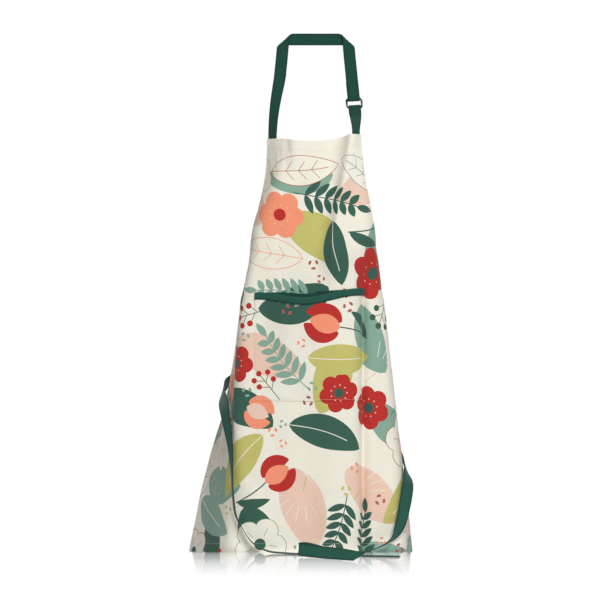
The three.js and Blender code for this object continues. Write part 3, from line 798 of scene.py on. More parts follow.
@dataclass
class WallMesh:
    """Closed wall of faces with flat places and a painted-shade measure at its points."""

    name: str
    points: list[Array] = field(default_factory=list)
    flats: list[Array] = field(default_factory=list)
    edges: list[Array] = field(default_factory=list)
    faces: list[tuple[int, ...]] = field(default_factory=list)
    count: int = 0

    def add_points(self, points: Array, flats: Array, edges: Array) -> int:
        """Add points.

        Args:
            points: Places.
            flats: Flat cloth place of each.
            edges: Painted shade of each, from 0 to 1, mostly by how near it is to a folded edge.

        Returns:
            The first new point's number.
        """
        first = self.count
        self.points.append(points.reshape(-1, 3))
        self.flats.append(flats.reshape(-1, 2))
        self.edges.append(edges.reshape(-1))
        self.count += len(self.points[-1])
        return first

    def wrap(self, rows: int, turns: int, closed: bool) -> None:
        """Join rows of points into a tube.

        Args:
            rows: How many rows.
            turns: Points round each row.
            closed: True where the last row meets the first.
        """
        for row in range(rows if closed else rows - 1):
            here, ahead = row * turns, (row + 1) % rows * turns
            for turn in range(turns):
                beside = (turn + 1) % turns
                self.faces.append((here + turn, here + beside, ahead + beside, ahead + turn))

    def finish(self, sharp: float = 50.0) -> bpy.types.Mesh:
        """Make the mesh, with faces outwards.

        Args:
            sharp: Angle in degrees past which an edge stays sharp.

        Returns:
            The mesh.
        """
        points = np.concatenate(self.points)
        volume = 0.0
        for face in self.faces:
            for second, third in zip(face[1:-1], face[2:]):
                volume += float(np.dot(points[face[0]], np.cross(points[second], points[third])))
        faces = self.faces if volume > 0 else [face[::-1] for face in self.faces]
        mesh = bpy.data.meshes.new(self.name)
        mesh.from_pydata(points.tolist(), [], faces)
        corners = np.zeros(len(mesh.loops), np.int32)
        mesh.loops.foreach_get("vertex_index", corners)
        layer = mesh.uv_layers.new(name="Flat")
        layer.uv.foreach_set("vector", np.concatenate(self.flats)[corners].astype(np.float32).ravel())
        # painted-shade measure, which the green tape's material reads
        edge = mesh.attributes.new("Edge", "FLOAT", "POINT")
        edge.data.foreach_set("value", np.concatenate(self.edges).astype(np.float32))
        mesh.polygons.foreach_set("use_smooth", np.ones(len(mesh.polygons), bool))
        mesh.set_sharp_from_angle(angle=math.radians(sharp))
        mesh.validate()
        return mesh


@dataclass(frozen=True)
class TapeProfile:
    """Cross-section of a folded and edge-stitched tape: (across, height) round its outline."""

    width: float = 0.025
    wall: float = 0.0016
    seam: float = 0.0026
    groove: float = 0.00028

    def ring(self) -> Array:
        """Points round the section, with height from 0 in front to the wall behind."""
        half, seam = self.width / 2.0, self.seam
        inward = [0.0004, 0.0012, seam - 0.0007, seam, seam + 0.0007, seam + 0.0018, half * 0.55]
        inset = [0.0005, 0.0001, 0.0, self.groove, 0.00004, 0.0, 0.0]
        across = [half - step for step in inward]
        run = across + [0.0] + [-step for step in reversed(across)]
        low = inset + [0.0] + inset[::-1]
        back = [(step, self.wall - height) for step, height in zip(run[::-1], low)]
        return np.array([(half, self.wall / 2.0), *zip(run, low), (-half, self.wall / 2.0), *back])

    def seams(self, place: Place, along: Array, count: int = 4) -> list[Array]:
        """Places along the stitch lines of a tape.

        Args:
            place: Gives places from along, across and height.
            along: Places along the tape.
            count: How many of the four lines, the two in front first.

        Returns:
            One line of places for each.
        """
        reach, high = self.width / 2.0 - self.seam, self.wall - self.groove
        lines = [(reach, self.groove), (-reach, self.groove), (reach, high), (-reach, high)]
        return [place(along, *(np.full(len(along), value) for value in line)) for line in lines[:count]]


def sweep(name: str, place: Place, stations: Array, profile: TapeProfile) -> bpy.types.Mesh:
    """Draw a tape's section along its length and close both ends.

    Args:
        name: The mesh's name.
        place: Gives places from along, across and height.
        stations: Places along the tape.
        profile: The tape's section.

    Returns:
        A closed mesh.
    """
    ring = profile.ring()
    count = len(ring)
    shape = (len(stations), count)
    along, across, height = (np.broadcast_to(v, shape) for v in (stations[:, None], ring[:, 0], ring[:, 1]))
    made = WallMesh(name)
    # painted shade that grows towards the tape's folded edges
    edges = np.abs(across) / (profile.width / 2.0)
    made.add_points(place(along, across, height), np.stack([along, across], 2), edges)
    made.wrap(*shape, False)
    last = (len(stations) - 1) * count
    for turn in range(1, count // 2):
        pair = (turn, turn + 1, count - turn - 1, count - turn)
        corners = pair if turn < count // 2 - 1 else (turn, turn + 1, count - turn)
        made.faces.append(corners[::-1])
        made.faces.append(tuple(last + corner for corner in corners))
    made.faces.append((count - 1, 1, 0))
    made.faces.append((last, last + 1, last + count - 1))
    return made.finish()


def slab(name: str, front: Array, back: Array, flats: Array, edges: Array) -> bpy.types.Mesh:
    """Close two matching grids of places into a wall.

    Args:
        name: The mesh's name.
        front: Grid of places, rows by columns.
        back: Matching grid behind it.
        flats: Flat cloth place of each grid point.
        edges: Painted-shade measure of each grid point.

    Returns:
        A closed mesh.
    """
    rows, columns = front.shape[:2]
    made = WallMesh(name)
    made.add_points(front, flats, edges)
    behind = made.add_points(back, flats, edges)
    for row in range(rows - 1):
        for column in range(columns - 1):
            corner = row * columns + column
            quad = (corner, corner + columns, corner + columns + 1, corner + 1)
            made.faces.append(quad)
            made.faces.append(tuple(behind + place for place in quad[::-1]))
    rim = list(range(columns))
    rim += [row * columns + columns - 1 for row in range(1, rows)]
    rim += [(rows - 1) * columns + column for column in range(columns - 2, -1, -1)]
    rim += [row * columns for row in range(rows - 2, 0, -1)]
    for here, ahead in zip(rim, rim[1:] + rim[:1]):
        made.faces.append((here, ahead, behind + ahead, behind + here))
    return made.finish()


@dataclass
class Stitcher:
    """Runs of stitches along seam lines, made by one Geometry Nodes tree."""

    pitch: float = 0.0034
    length: float = 0.0025
    thickness: float = 0.0006
    shortest: float = 0.88
    longest: float = 1.1
    seed: int = 5
    tree: bpy.types.NodeTree = field(init=False)

    def __post_init__(self) -> None:
        """Build the tree."""
        inputs = {"Seam lines": "Geometry", "Pitch": "Float", "Stitch length": "Float"}
        inputs |= {"Thread thickness": "Float", "Thread": "Material"}
        nodes, given, wanted = node_group("Geometry", "Stitch run", inputs, {"Stitches": "Geometry"})
        lines = nodes.add("GeometryNodeMeshToCurve", Mesh=given["Seam lines"])
        even = nodes.add("GeometryNodeResampleCurve", {"mode": "LENGTH"}, Curve=lines.outputs[0])
        nodes.link(given["Pitch"], even.inputs["Length"])
        bead = nodes.add("GeometryNodeMeshIcoSphere", Radius=0.5, Subdivisions=1)
        vary = nodes.add("FunctionNodeRandomValue", {"data_type": "FLOAT"}, Seed=self.seed)
        vary.inputs[2].default_value, vary.inputs[3].default_value = self.shortest, self.longest
        run = nodes.math("MULTIPLY", given["Stitch length"], vary.outputs[1])
        thickness = given["Thread thickness"]
        size = nodes.add("ShaderNodeCombineXYZ", X=run, Y=thickness, Z=thickness)
        tangent = nodes.add("GeometryNodeInputTangent")
        turn = nodes.add("FunctionNodeAlignRotationToVector", {"axis": "X"}, Vector=tangent.outputs[0])
        laid = nodes.add("GeometryNodeInstanceOnPoints", Points=even.outputs[0], Instance=bead.outputs[0])
        nodes.link(turn.outputs[0], laid.inputs["Rotation"])
        nodes.link(size.outputs[0], laid.inputs["Scale"])
        real = nodes.add("GeometryNodeRealizeInstances", Geometry=laid.outputs[0])
        smooth = nodes.add("GeometryNodeSetShadeSmooth", Geometry=real.outputs[0])
        dressed = nodes.add("GeometryNodeSetMaterial", Geometry=smooth.outputs[0])
        nodes.link(given["Thread"], dressed.inputs["Material"])
        nodes.link(dressed.outputs[0], wanted["Stitches"])
        self.tree = nodes.tree

    def sew(
        self, name: str, lines: Sequence[Array], thread: bpy.types.Material, slot: Slot
    ) -> bpy.types.Object:
        """Sew along seam lines.

        Args:
            name: The piece's name.
            lines: Places along each seam.
            thread: The thread's material.
            slot: The record's material slot.

        Returns:
            The stitches as one piece.
        """
        starts = np.cumsum([0] + [len(line) for line in lines])
        links = []
        for start, line in zip(starts, lines):
            links += [(start + at, start + at + 1) for at in range(len(line) - 1)]
        guide = bpy.data.meshes.new(f"{name}_guide")
        guide.from_pydata(np.concatenate(lines).tolist(), links, [])
        holder = bpy.data.objects.new(f"{name}_guide", guide)
        bpy.context.scene.collection.objects.link(holder)
        modifier = holder.modifiers.new("Stitches", "NODES")
        modifier.node_group = self.tree
        values = {"Pitch": self.pitch, "Stitch length": self.length, "Thread": thread}
        values["Thread thickness"] = self.thickness
        for socket in self.tree.interface.items_tree:
            if socket.in_out == "INPUT" and socket.name in values:
                modifier[socket.identifier] = values[socket.name]
        ready = holder.evaluated_get(bpy.context.evaluated_depsgraph_get())
        mesh = bpy.data.meshes.new_from_object(ready)
        bpy.data.objects.remove(holder)
        mesh.name = name
        return new_piece(name, mesh, thread, slot)


class Motif(Enum):
    """Shapes of the print."""

    PATCH = "patch"
    BROAD_LEAF = "broad leaf"
    FERN = "fern"
    ROUND_BLOOM = "round bloom"
    TULIP = "tulip"
    BERRIES = "berries"
    FAN = "fan"
    LINE_LEAF = "line leaf"
    LINE_BLOOM = "line bloom"
    SEEDS = "seeds"


@dataclass
class Drawing:
    """One motif as filled loops, later ones over earlier ones, with discs that keep others off it."""

    loops: list[tuple[Array, Ink]] = field(default_factory=list)
    discs: list[tuple[float, float, float]] = field(default_factory=list)

    def fill(self, loop: Array, ink: Ink) -> None:
        """Add a filled loop."""
        self.loops.append((loop, ink))

    def placed(self, x: float, y: float, turn: float) -> "Drawing":
        """The same drawing, turned and moved."""
        loops = [(spun(loop, turn) + (x, y), ink) for loop, ink in self.loops]
        spots = [(*(spun(np.array(disc[:2]), turn) + (x, y)), disc[2]) for disc in self.discs]
        return Drawing(loops, spots)


def leaf_loop(length: float, width: float, bend: float, count: int = 18, blunt: float = 0.75) -> Array:
    """Outline of a leaf that grows up from the origin.

    Args:
        length: From stalk to tip.
        width: Its greatest width.
        bend: How far its middle bows sideways.
        count: Points on each side.
        blunt: Lower is rounder.

    Returns:
        A closed loop of places.
    """
    share = np.linspace(0.0, 1.0, count)
    middle = bowed(length, bend, share)
    half = 0.5 * width * np.sin(np.pi * share**0.9) ** blunt
    across = unit(np.stack([np.gradient(middle[:, 1]), -np.gradient(middle[:, 0])], 1))
    right, left = middle + across * half[:, None], middle - across * half[:, None]
    return np.concatenate([right, left[-2:0:-1]])


def disc_loop(
    middle: Array, radius: float, count: int = 18, stretch: float = 1.0, turn: float = 0.0
) -> Array:
    """Outline of a disc, or of an oval stretched along its height and turned by radians."""
    circle = polar(radius, np.linspace(0.0, 2.0 * np.pi, count, endpoint=False))
    return spun(circle * (1.0, stretch), turn) + middle


def stroke_loop(line: Array, width: float) -> Array:
    """Outline of a pen stroke along a line."""
    run = np.gradient(line, axis=0)
    across = unit(np.stack([-run[:, 1], run[:, 0]], 1)) * width / 2.0
    return np.concatenate([line + across, (line - across)[::-1]])


def anticlockwise(loop: Array) -> Array:
    """The same closed loop, run anticlockwise."""
    ahead = np.roll(loop, -1, 0)
    return loop if np.sum(loop[:, 0] * ahead[:, 1] - loop[:, 1] * ahead[:, 0]) > 0 else loop[::-1]


def grown(loop: Array, by: float) -> Array:
    """A closed loop moved outwards, or inwards by a negative distance."""
    loop = anticlockwise(loop)
    run = np.roll(loop, -1, 0) - np.roll(loop, 1, 0)
    return loop + unit(np.stack([run[:, 1], -run[:, 0]], 1)) * by


@dataclass
class PrintDesign:
    """Botanical print of the panel's cloth, drawn in its flat place: across, and up from the top edge."""

    form: PanelForm
    seed: int = 14
    scale: float = 1.2
    plain_top: float = 0.026
    pen: float = 0.0014
    spacing: float = 0.004
    patches: int = 34
    patch_spacing: float = 0.020
    tries: int = 700
    first_drop: float = 0.03
    overhang: float = 0.02
    vary: float = 0.15
    drawings: list[Drawing] = field(default_factory=list)

    def __post_init__(self) -> None:
        """Lay out the broad patches, then the motifs over them, large ones first."""
        self.chance = np.random.default_rng(self.seed)
        large = [Motif.BROAD_LEAF, Motif.ROUND_BLOOM, Motif.LINE_LEAF, Motif.FERN, Motif.FAN]
        order = (large + [Motif.LINE_BLOOM, Motif.TULIP]) * 14
        order += [Motif.BROAD_LEAF, Motif.BERRIES, Motif.TULIP] * 12
        self._lay([Motif.PATCH] * self.patches, self.patch_spacing)
        self._lay(order + [Motif.BERRIES] * 20 + [Motif.SEEDS] * 34, self.spacing)

    def _lay(self, order: Sequence[Motif], spacing: float) -> None:
        """Place motifs by chance so that they keep off one another.

        Args:
            order: The motifs, as they are to be placed.
            spacing: Least distance between two of them.
        """
        taken = np.zeros((0, 3))
        for number, motif in enumerate(order):
            drawing = self._draw(motif, number)
            for _ in range(self.tries):
                across = self.chance.uniform(-self.form.half_width, self.form.half_width)
                drop = self.chance.uniform(self.first_drop, self.form.length)
                spot = drawing.placed(across, -drop, self.chance.uniform(0.0, 2.0 * np.pi))
                discs = np.array(spot.discs)
                outside = abs(across) > self.form.half_width_at(drop) + self.overhang
                if outside or np.max(discs[:, 1] + discs[:, 2]) > -self.plain_top:
                    continue
                gaps = np.hypot(discs[:, None, 0] - taken[None, :, 0], discs[:, None, 1] - taken[None, :, 1])
                if gaps.size and np.min(gaps - discs[:, None, 2] - taken[None, :, 2]) < spacing:
                    continue
                self.drawings.append(spot)
                taken = np.concatenate([taken, discs])
                break

    def _draw(self, motif: Motif, number: int) -> Drawing:
        """Draw a motif at the origin, by the method of its name.

        Args:
            motif: Which shape.
            number: Its place in the order, which sets its inks.

        Returns:
            The drawing.
        """
        size = self.scale * self.chance.uniform(1.0 - self.vary, 1.0 + self.vary)
        return getattr(self, f"_{motif.name.lower()}")(size, number)

    def _patch(self, size: float, number: int) -> Drawing:
        """Broad plain leaf that lies under the other motifs."""
        length, width, bend = 0.128 * size, 0.066 * size, self.chance.uniform(-0.02, 0.02)
        made = Drawing()
        ink = (Ink.BLUSH, Ink.SAGE, Ink.LIME, Ink.BLUSH, Ink.SAGE, Ink.FOREST)[number % 6]
        made.fill(leaf_loop(length, width, bend, 26, 0.62) - (0.0, length / 2), ink)
        made.discs = [(bend * 0.6, length * at, width * 0.45) for at in (-0.28, 0.0, 0.28)]
        return made

    def _broad_leaf(self, size: float, number: int) -> Drawing:
        """Broad leaf with a bare midrib."""
        length, width, bend = 0.118 * size, 0.050 * size, self.chance.uniform(-0.014, 0.014)
        made = Drawing()
        low = (0.0, length / 2)
        made.fill(leaf_loop(length, width, bend) - low, (Ink.FOREST, Ink.SAGE, Ink.LIME)[number % 3])
        made.fill(stroke_loop(bowed(length, bend, np.linspace(0.0, 0.78, 12)) - low, 0.0016), Ink.CREAM)
        made.discs = [(bend * 0.6, length * at, width * 0.42) for at in (-0.3, 0.0, 0.3)]
        return made

    def _fern(self, size: float, number: int) -> Drawing:
        """Stem with paired leaflets."""
        length, bend = 0.124 * size, self.chance.uniform(-0.012, 0.012)
        ink = (Ink.SAGE, Ink.FOREST)[number % 2]
        made = Drawing()
        low = (0.0, length / 2)
        made.fill(stroke_loop(bowed(length, bend, np.linspace(0.0, 1.0, 14)) - low, 0.002), ink)
        for pair in range(6):
            root = bowed(length, bend, np.array([0.16 + 0.14 * pair])) - low
            reach = 0.036 * size * (1.0 - 0.07 * pair)
            for side in (-1.0, 1.0):
                leaflet = leaf_loop(reach, 0.0125 * size, 0.0, 10)
                made.fill(spun(leaflet, side * 0.95) + root, ink)
        made.fill(leaf_loop(0.03 * size, 0.0125 * size, 0.0, 10) + (0.0, length * 0.47), ink)
        made.discs = [(bend * 0.6, length * at, 0.025 * size) for at in (-0.2, 0.1, 0.42)]
        return made

    def _round_bloom(self, size: float, number: int) -> Drawing:
        """Bloom of round petals with a dark eye."""
        radius = 0.037 * size
        ink, heart = ((Ink.RED, Ink.FOREST), (Ink.CORAL, Ink.RED))[number % 2]
        made = Drawing()
        for petal in range(6):
            middle = polar(0.62 * radius, petal * math.pi / 3.0 + 0.2)
            made.fill(disc_loop(middle, 0.42 * radius, 16), ink)
        made.fill(disc_loop((0.0, 0.0), 0.62 * radius, 18), ink)
        made.fill(disc_loop((0.0, 0.0), 0.26 * radius, 14), heart)
        for dot in range(9):
            middle = polar(0.42 * radius, dot * 2.0 * math.pi / 9.0)
            made.fill(disc_loop(middle, 0.0015, 8), Ink.BLUSH)
        made.discs = [(0.0, 0.0, radius)]
        return made

    def _tulip(self, size: float, number: int) -> Drawing:
        """Cup of three petals on a stem with one leaf."""
        ink, front = ((Ink.CORAL, Ink.BLUSH), (Ink.RED, Ink.CORAL), (Ink.BLUSH, Ink.CORAL))[number % 3]
        tall = 0.056 * size
        made = Drawing()
        stem = np.stack([0.004 * np.sin(np.linspace(0, 3.0, 10)), np.linspace(-0.062 * size, 0.004, 10)], 1)
        made.fill(stroke_loop(stem, 0.0026), Ink.FOREST)
        leaf = leaf_loop(0.058 * size, 0.017 * size, 0.006)
        made.fill(spun(leaf, -0.5) + (0.001, -0.060 * size), Ink.FOREST)
        for side in (-1.0, 1.0):
            petal = leaf_loop(tall, 0.030 * size, side * 0.010)
            made.fill(petal + (side * 0.009 * size, 0.0), ink)
        made.fill(leaf_loop(tall * 0.86, 0.030 * size, 0.0), front)
        made.discs = [(0.0, tall * 0.5, 0.031 * size), (0.008, -0.030 * size, 0.020 * size)]
        return made

    def _berries(self, size: float, number: int) -> Drawing:
        """Forked stem with round berries."""
        ink = (Ink.RED, Ink.CORAL, Ink.FOREST)[number % 3]
        made = Drawing()
        stem = np.stack([np.zeros(8), np.linspace(-0.034, 0.030, 8) * size], 1)
        made.fill(stroke_loop(stem, 0.0016), Ink.FOREST)
        for at, side in ((-0.008, 1), (-0.002, -1), (0.010, 1), (0.014, -1)):
            twig = np.stack([np.linspace(0.0, side * 0.015, 6), np.linspace(at, at + 0.012, 6)], 1) * size
            made.fill(stroke_loop(twig, 0.0014), Ink.FOREST)
            made.fill(disc_loop((side * 0.016 * size, (at + 0.014) * size), 0.0056 * size, 14), ink)
        made.fill(disc_loop((0.0, 0.033 * size), 0.0058 * size, 14), ink)
        made.discs = [(0.0, 0.012 * size, 0.024 * size), (0.0, -0.024 * size, 0.007 * size)]
        return made

    def _fan(self, size: float, number: int) -> Drawing:
        """Fan-shaped leaf with fine bare slits."""
        ink = (Ink.BLUSH, Ink.LIME, Ink.CORAL)[number % 3]
        reach = 0.070 * size
        angle = np.linspace(0.30, math.pi - 0.30, 60)
        spread = np.sin(np.pi * (angle - 0.30) / (math.pi - 0.60))
        scallop = reach * (0.50 + 0.50 * spread**0.45) * (1.0 - 0.05 * np.abs(np.sin(4.5 * (angle - 0.30))))
        rim = np.concatenate([polar(scallop, angle), [(-0.002, 0.0), (0.002, 0.0)]])
        made = Drawing()
        made.fill(rim - (0.0, reach * 0.55), ink)
        stem = np.stack([np.zeros(6), np.linspace(0.003, -0.026 * size, 6) - reach * 0.55], 1)
        made.fill(stroke_loop(stem, 0.002), ink)
        for slit in np.linspace(0.85, math.pi - 0.85, 5):
            line = polar(np.linspace(0.45, 0.86, 8) * reach, slit)
            made.fill(stroke_loop(line - (0.0, reach * 0.55), 0.0014), Ink.CREAM)
        made.discs = [(0.0, 0.012 * size, 0.034 * size), (0.034 * size, 0.016 * size, 0.014 * size)]
        made.discs += [(-0.034 * size, 0.016 * size, 0.014 * size), (0.0, -0.040 * size, 0.014 * size)]
        return made

    def _line_leaf(self, size: float, number: int) -> Drawing:
        """Leaf drawn in outline with a midrib and side veins."""
        length, width, bend = 0.112 * size, 0.048 * size, self.chance.uniform(-0.012, 0.012)
        ink = (Ink.RUST, Ink.MIST, Ink.CORAL)[number % 3]
        made = Drawing()
        low = (0.0, length / 2)
        outline = leaf_loop(length, width, bend) - low
        made.fill(grown(outline, self.pen / 2), ink)
        made.fill(grown(outline, -self.pen / 2), Ink.CREAM)
        made.fill(stroke_loop(bowed(length, bend, np.linspace(0.0, 0.86, 12)) - low, self.pen), ink)
        for vein in (0.26, 0.44, 0.62):
            root = bowed(length, bend, np.array([vein])) - low
            for side in (-1.0, 1.0):
                line = root + np.linspace(0.0, 1.0, 6)[:, None] * (side * 0.30 * width, 0.10 * length)
                made.fill(stroke_loop(line, self.pen * 0.85), ink)
        made.discs = [(bend * 0.6, length * at, width * 0.42) for at in (-0.3, 0.0, 0.3)]
        return made

    def _line_bloom(self, size: float, number: int) -> Drawing:
        """Bloom drawn in outline, with a filled eye."""
        radius = 0.040 * size
        ink, heart = ((Ink.RUST, Ink.FOREST), (Ink.CORAL, Ink.LIME), (Ink.MIST, Ink.FOREST))[number % 3]
        angle = np.linspace(0.0, 2.0 * np.pi, 80, endpoint=False)
        wave = radius * (0.74 + 0.26 * np.abs(np.cos(2.5 * angle)) ** 0.7)
        outline = polar(wave, angle)
        made = Drawing()
        made.fill(grown(outline, self.pen / 2), ink)
        made.fill(grown(outline, -self.pen / 2), Ink.CREAM)
        for petal in range(5):
            line = polar(np.linspace(0.34, 0.66, 6) * radius, petal * 2.0 * math.pi / 5.0)
            made.fill(stroke_loop(line, self.pen * 0.85), ink)
        made.fill(disc_loop((0.0, 0.0), 0.22 * radius, 14), heart)
        made.discs = [(0.0, 0.0, radius * 0.95)]
        return made

    def _seeds(self, size: float, number: int) -> Drawing:
        """Three drifting seeds."""
        ink = (Ink.CORAL, Ink.SAGE, Ink.RUST, Ink.LIME)[number % 4]
        made = Drawing()
        for seed in range(3):
            angle = seed * 2.1
            made.fill(disc_loop(polar(0.0062 * size, angle), 0.0022 * size, 10, 1.7, angle), ink)
        made.discs = [(0.0, 0.0, 0.009 * size)]
        return made


@dataclass
class CutCloth:
    """Flat cloth cut along an outline, with the print's edges and the hems cut into its faces."""

    outline: Array
    design: PrintDesign
    lines: Sequence[Array] = ()
    cell: float = 0.0065
    keep_off: float = 0.55
    row_share: float = 0.9
    points: Array = field(init=False)
    faces: Array = field(init=False)
    inks: Array = field(init=False)

    def __post_init__(self) -> None:
        """Cut the cloth into triangles and read the ink of each."""
        low, high = self.outline.min(0) - self.cell, self.outline.max(0) + self.cell
        loops: list[tuple[Array, Ink]] = []
        for drawing in self.design.drawings:
            for loop, ink in drawing.loops:
                if np.all(loop.max(0) > low) and np.all(loop.min(0) < high):
                    loops.append((anticlockwise(loop), ink))
        corners, faces, edges, count = [], [], [], 0
        for loop in [self.outline, *(loop for loop, _ in loops)]:
            corners.append(loop)
            faces.append(list(range(count, count + len(loop))))
            count += len(loop)
        for line in self.lines:
            corners.append(line)
            edges += [(count + at, count + at + 1) for at in range(len(line) - 1)]
            count += len(line)
        fixed = np.concatenate(corners)
        grid = self._grid(fixed, low, high)
        verts = [Vector(place) for place in np.concatenate([fixed, grid]) / MM]
        points, _, triangles, _, _, sources = delaunay_2d_cdt(verts, edges, faces, 1, 1e-3, True)
        inside = [at for at, source in enumerate(sources) if 0 in source]
        self.points = np.array([tuple(point) for point in points]) * MM
        self.faces = np.array([triangles[at] for at in inside])
        inks = [Ink.CREAM.value] + [ink.value for _, ink in loops]
        self.inks = np.array([inks[max(sources[at])] for at in inside])
        self._drop_unused()

    def _grid(self, fixed: Array, low: Array, high: Array) -> Array:
        """Even inner points that keep off the cut lines.

        Args:
            fixed: Points of all cut lines.
            low: Lowest flat place.
            high: Highest flat place.

        Returns:
            The inner points.
        """
        tree = KDTree(len(fixed))
        for at, place in enumerate(fixed):
            tree.insert((*place, 0.0), at)
        tree.balance()
        across = np.arange(low[0], high[0], self.cell)
        rise = np.arange(low[1], high[1], self.cell * self.row_share)
        grid = [(x + (row % 2) * self.cell / 2, y) for row, y in enumerate(rise) for x in across]
        least = self.keep_off * self.cell
        return np.array([place for place in grid if tree.find((*place, 0.0))[2] > least])

    def _drop_unused(self) -> None:
        """Leave out points that no face uses."""
        used, self.faces = np.unique(self.faces, return_inverse=True)
        self.points, self.faces = self.points[used], self.faces.reshape(-1, 3)


@dataclass
class PrintedSheet:
    """Printed cloth of a real thickness, laid on a form."""

    name: str
    cloth: CutCloth
    front: Callable[[Array, Array], Array]
    back: Callable[[Array, Array], Array]
    through: float = 0.22
    normal_step: float = 0.0016

    def make(self) -> bpy.types.Mesh:
        """Build the closed sheet with its print, flat places and smooth normals.

        Returns:
            The mesh.
        """
        across, drop = self.cloth.points[:, 0], -self.cloth.points[:, 1]
        faces, count = self.cloth.faces, len(across)
        sides = np.concatenate([faces[:, [0, 1]], faces[:, [1, 2]], faces[:, [2, 0]]])
        known = {(int(a), int(b)) for a, b in sides}
        rim = [(a, b) for a, b in known if (b, a) not in known]
        walls = [(b, a, a + count, b + count) for a, b in rim]
        mesh = bpy.data.meshes.new(self.name)
        points = np.concatenate([self.front(across, drop), self.back(across, drop)])
        mesh.from_pydata(points.tolist(), [], faces.tolist() + (faces[:, ::-1] + count).tolist() + walls)
        corners = np.zeros(len(mesh.loops), np.int32)
        mesh.loops.foreach_get("vertex_index", corners)
        flat = np.stack([across, drop], 1)[corners % count]
        mesh.uv_layers.new(name="Flat").uv.foreach_set("vector", flat.astype(np.float32).ravel())
        cream = np.array(Ink.CREAM.value)
        faint = cream + (self.cloth.inks - cream) * self.through
        colours = np.concatenate([np.repeat(self.cloth.inks, 3, 0), np.repeat(faint, 3, 0)])
        colours = np.concatenate([colours, np.tile(cream, (4 * len(walls), 1))])
        layer = mesh.color_attributes.new("Print", "FLOAT_COLOR", "CORNER")
        solid = np.column_stack([colours, np.ones(len(colours))])
        layer.data.foreach_set("color", solid.astype(np.float32).ravel())
        mesh.polygons.foreach_set("use_smooth", np.ones(len(mesh.polygons), bool))
        mesh.normals_split_custom_set(self._corner_normals(across, drop, points, corners, walls).tolist())
        return mesh

    def _corner_normals(
        self, across: Array, drop: Array, points: Array, corners: Array, walls: list
    ) -> Array:
        """Normals of the smooth faces, and of the cut edge.

        Args:
            across: Flat distances of the points.
            drop: Flat drops of the points.
            points: Places of the front points, then the back ones.
            corners: Point number of each face corner.
            walls: Quads of the cut edge.

        Returns:
            A normal for each face corner.
        """
        step, found = self.normal_step, []
        for face, sign in ((self.front, 1.0), (self.back, -1.0)):
            down = face(across, drop + step) - face(across, np.maximum(drop - step, 0.0))
            sideways = face(across + step, drop) - face(across - step, drop)
            found.append(sign * unit(np.cross(down, sideways)))
        normals = np.concatenate(found)[corners]
        if walls:
            quads = points[np.array(walls)]
            edge = unit(np.cross(quads[:, 1] - quads[:, 0], quads[:, 3] - quads[:, 0]))
            normals[-4 * len(walls) :] = np.repeat(edge, 4, 0)
        return normals


